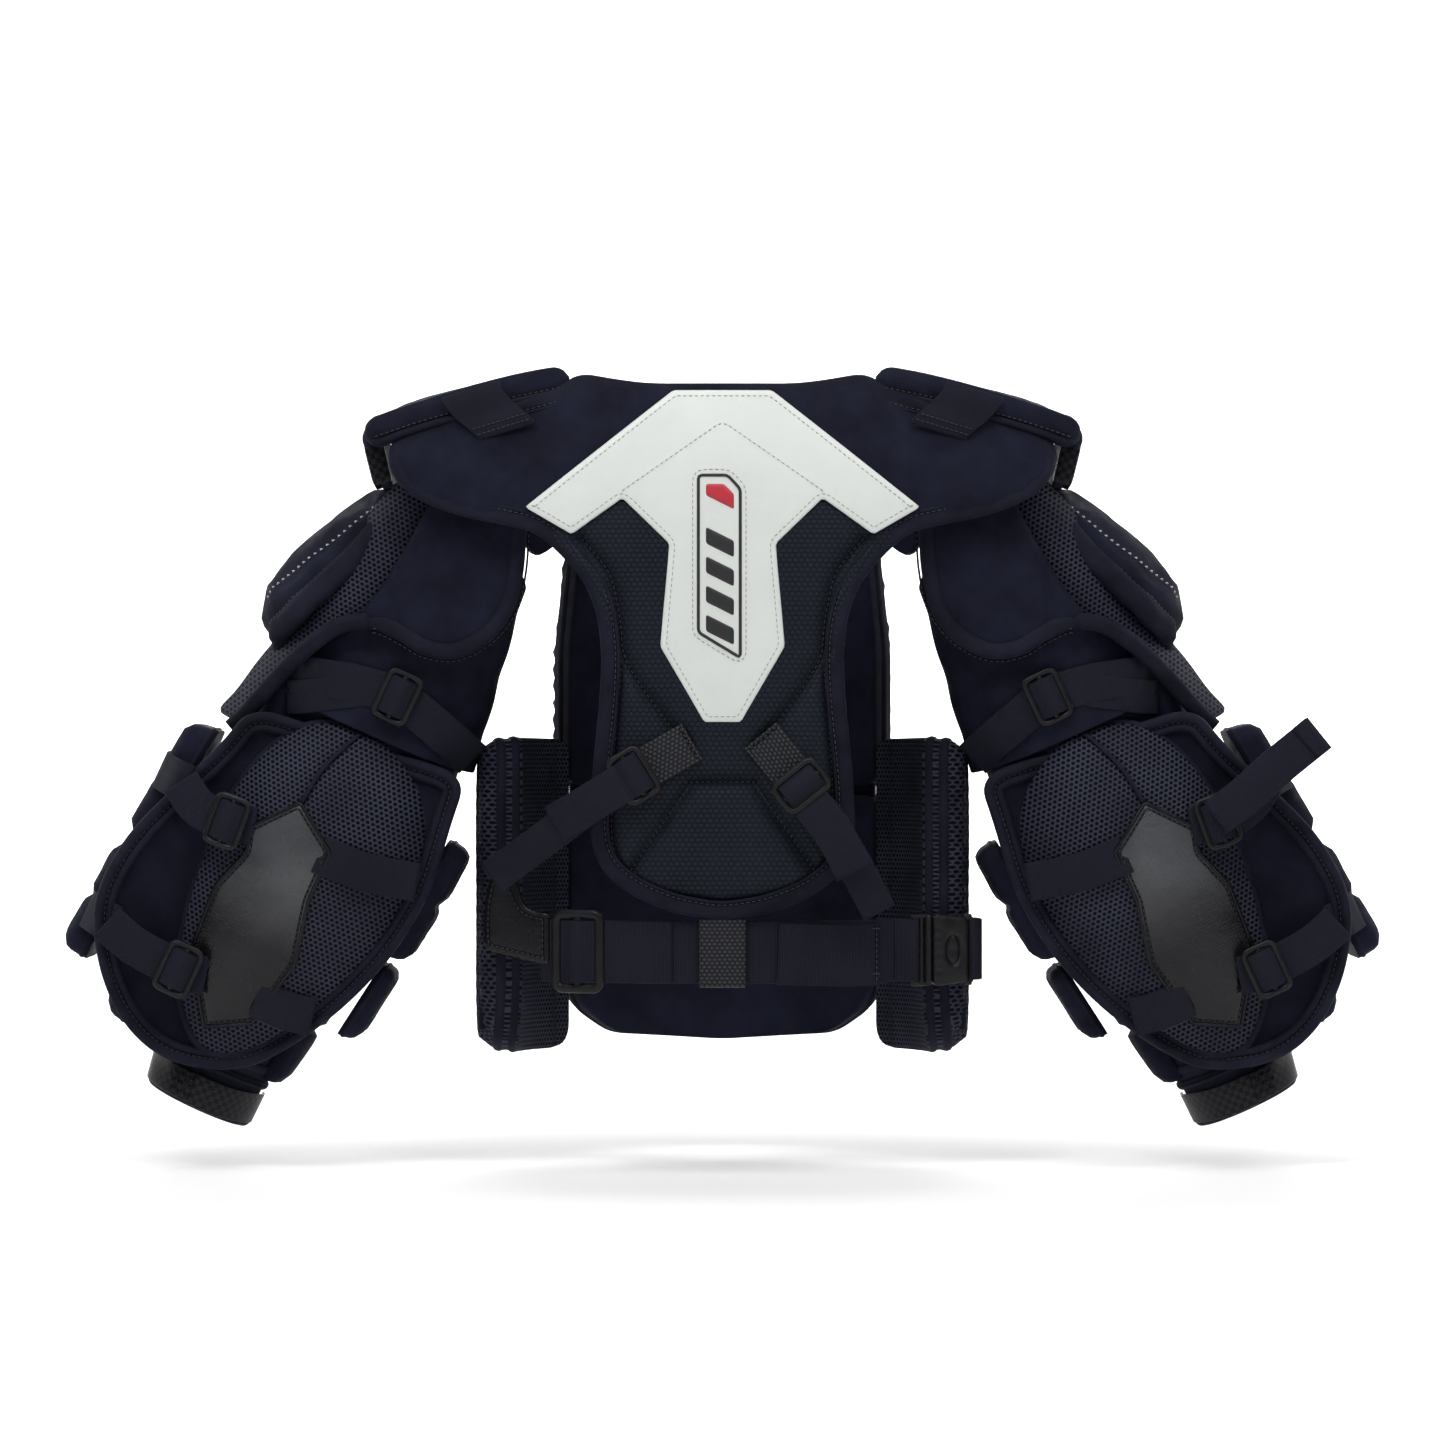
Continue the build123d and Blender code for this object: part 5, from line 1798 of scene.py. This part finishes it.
def make_shoulders():
    """The bridge pads under the caps and the padded straps down to the chest."""
    slope = math.radians(15.8)

    def bridge_place(u, v, out):
        rise = np.sqrt(np.clip(1 - (v / 100.0) ** 2, 0, 1))
        y, z = 14 + (78 + out) * v / 100.0, (3 + out) * rise
        return np.stack([118 + u * math.cos(slope) + z * math.sin(slope), y,
                         -24 - u * math.sin(slope) + z * math.cos(slope)], axis=1)

    loop = rounded([(1, -86), (112, -82), (112, 86), (2, 90)], 16, 6)
    profile = crown(9, 7, 1.0, 20, 3)
    bag = Bag()
    bag.add(*pad_bit(loop, bridge_place, lambda uv, e: profile(e), step=8))
    straps = Bag()
    strap_place = plane_place((157, 120.5, -89), (-46, 9, -66), (0.63, 1, 0.1))
    outline = rounded([(-40, -29), (40, -29), (40, 29), (-40, 29)], 10, 4)
    seam = [segment((-34.0, 0), (34, 0))]
    soft = crown(9, 6, 2, 12, 3)
    straps.add(*pad_bit(outline, strap_place, lambda uv, edge: soft(edge) - groove(uv, seam, 3, 3),
                        step=5, seams=seam, under=-4))
    for side in (RIGHT, LEFT):
        end = SIDE_NAMES[side]
        ride(bag.make(f"shoulder_bridge_pad_{end}", NYLON, side), "vest", "black_nylon",
                       f"shoulder_bridge_{end}")
        nodes = ["collar_straps"] if side == RIGHT else []
        ride(straps.make(f"collar_pad_{end}", NYLON, side), "vest", "black_nylon", *nodes)


def give_plastic(*nodes):
    """Better plastic on CAD nodes whose shape is right."""
    for node in nodes:
        for slot in bpy.data.objects[node].material_slots:
            slot.material = PLASTIC


# ================================================================ stage

def make_stage():
    """A pale floor that curves up into a far backdrop, soft lights and the camera."""
    floor_z = -0.632
    profile = [(-9.0, floor_z), (5.6, floor_z), (6.3, floor_z + 0.1), (6.7, floor_z + 0.6),
               (6.8, floor_z + 7.0)]
    line = rounded(profile, 0.3, 0.08, closed=False)
    grid = np.array([[(x, y, z) for x in (-9.0, 9.0)] for y, z in line])
    verts, faces, _ = grid_bit(grid, close_m=False, caps=False, s=np.arange(len(line)), t=[0, 1])
    mesh = bpy.data.meshes.new("floor")
    mesh.from_pydata(verts.tolist(), [], faces)
    floor = bpy.data.objects.new("floor", mesh)
    bpy.context.collection.objects.link(floor)
    paper = bpy.data.materials.new("paper")
    paper.use_nodes = True
    shader = paper.node_tree.nodes["Principled BSDF"]
    shader.inputs["Base Color"].default_value = (0.92, 0.92, 0.92, 1)
    shader.inputs["Roughness"].default_value = 0.9
    mesh.materials.append(paper)

    def area(name, place, target, size, power):
        data = bpy.data.lights.new(name, "AREA")
        data.shape = "RECTANGLE"
        data.size, data.size_y = size
        data.energy = power
        light = bpy.data.objects.new(name, data)
        light.location = place
        light.rotation_euler = (Vector(target) - Vector(place)).to_track_quat("-Z", "Y").to_euler()
        bpy.context.collection.objects.link(light)

    area("key", (-1.3, -2.3, 2.6), (0, 0, -0.3), (1.2, 1.0), 50)
    area("fill", (1.5, -2.3, 2.3), (0, 0, -0.3), (1.4, 1.2), 29)
    area("top", (0.0, -0.9, 2.8), (0, 0, -0.2), (2.4, 1.4), 44)
    area("rim_left", (-2.6, 1.2, 0.8), (0, 0, -0.3), (0.6, 1.8), 26)
    area("rim_right", (2.6, 1.2, 0.8), (0, 0, -0.3), (0.6, 1.8), 26)
    area("front", (0.0, 3.2, 1.9), (0, 0, -0.3), (2.0, 1.2), 34)
    area("backdrop", (0.0, 4.6, 3.4), (0, 6.8, 0.2), (4.0, 1.5), 420)

    world = bpy.data.worlds.new("studio")
    world.use_nodes = True
    world.node_tree.nodes["Background"].inputs[0].default_value = (1, 1, 1, 1)
    world.node_tree.nodes["Background"].inputs[1].default_value = 0.26
    bpy.context.scene.world = world
    bpy.context.scene.view_settings.view_transform = "Standard"

    frame_width = 1.156
    reach = 4.2
    camera = bpy.data.cameras.new("camera")
    camera.sensor_width = 36
    camera.lens = 36 * reach / frame_width
    eye = bpy.data.objects.new("camera", camera)
    eye.location = (0.0, -0.06 - reach, -0.274)
    eye.rotation_euler = (math.pi / 2, 0, 0)
    bpy.context.collection.objects.link(eye)
    bpy.context.scene.camera = eye


black_threads = make_back_panel()
make_yoke()
make_back_binding(black_threads)
make_chevron()
make_back_straps(black_threads)
make_belt(black_threads)
make_buckle()
make_side_panels()
make_chest()
make_shoulders()
ride(black_threads.make("back_stitches", BLACK_THREAD), "vest", "black_nylon")
# the near black strips under the stitches are painted seam shade
ride(black_threads.track.make("back_seam_shade", SEAM_SHADE), "vest", "black_nylon")

cap_threads = Bag()
make_caps(cap_threads)
both(cap_threads, "cap_stitches", BLACK_THREAD, "cap", "black_nylon")
both(cap_threads.track, "cap_seam_shade", SEAM_SHADE, "cap", "black_nylon")
make_cap_tabs()
floater_threads = Bag()
make_floaters(floater_threads)
both(floater_threads, "floater_stitches", BLACK_THREAD, "floater", "black_nylon")
both(floater_threads.track, "floater_seam_shade", SEAM_SHADE, "floater", "black_nylon")

make_upper_arm()
arm_threads = Bag()
make_rear_flap(arm_threads)
make_upper_strap()
both(arm_threads, "upper_arm_stitches", BLACK_THREAD, "upper_arm", "black_nylon")
both(arm_threads.track, "upper_arm_seam_shade", SEAM_SHADE, "upper_arm", "black_nylon")
make_elbow_sleeve()
make_forearm_guard()
arm_threads = Bag()
make_shell(arm_threads)
make_sling(arm_threads)
make_forearm_straps()
make_side_pads()
make_cuffs()
both(arm_threads, "forearm_stitches", BLACK_THREAD, "forearm", "black_nylon")
both(arm_threads.track, "forearm_seam_shade", SEAM_SHADE, "forearm", "black_nylon")
make_free_tail()
give_plastic("arm_studs", "elbow_cup_left", "elbow_cup_right")
make_stage()
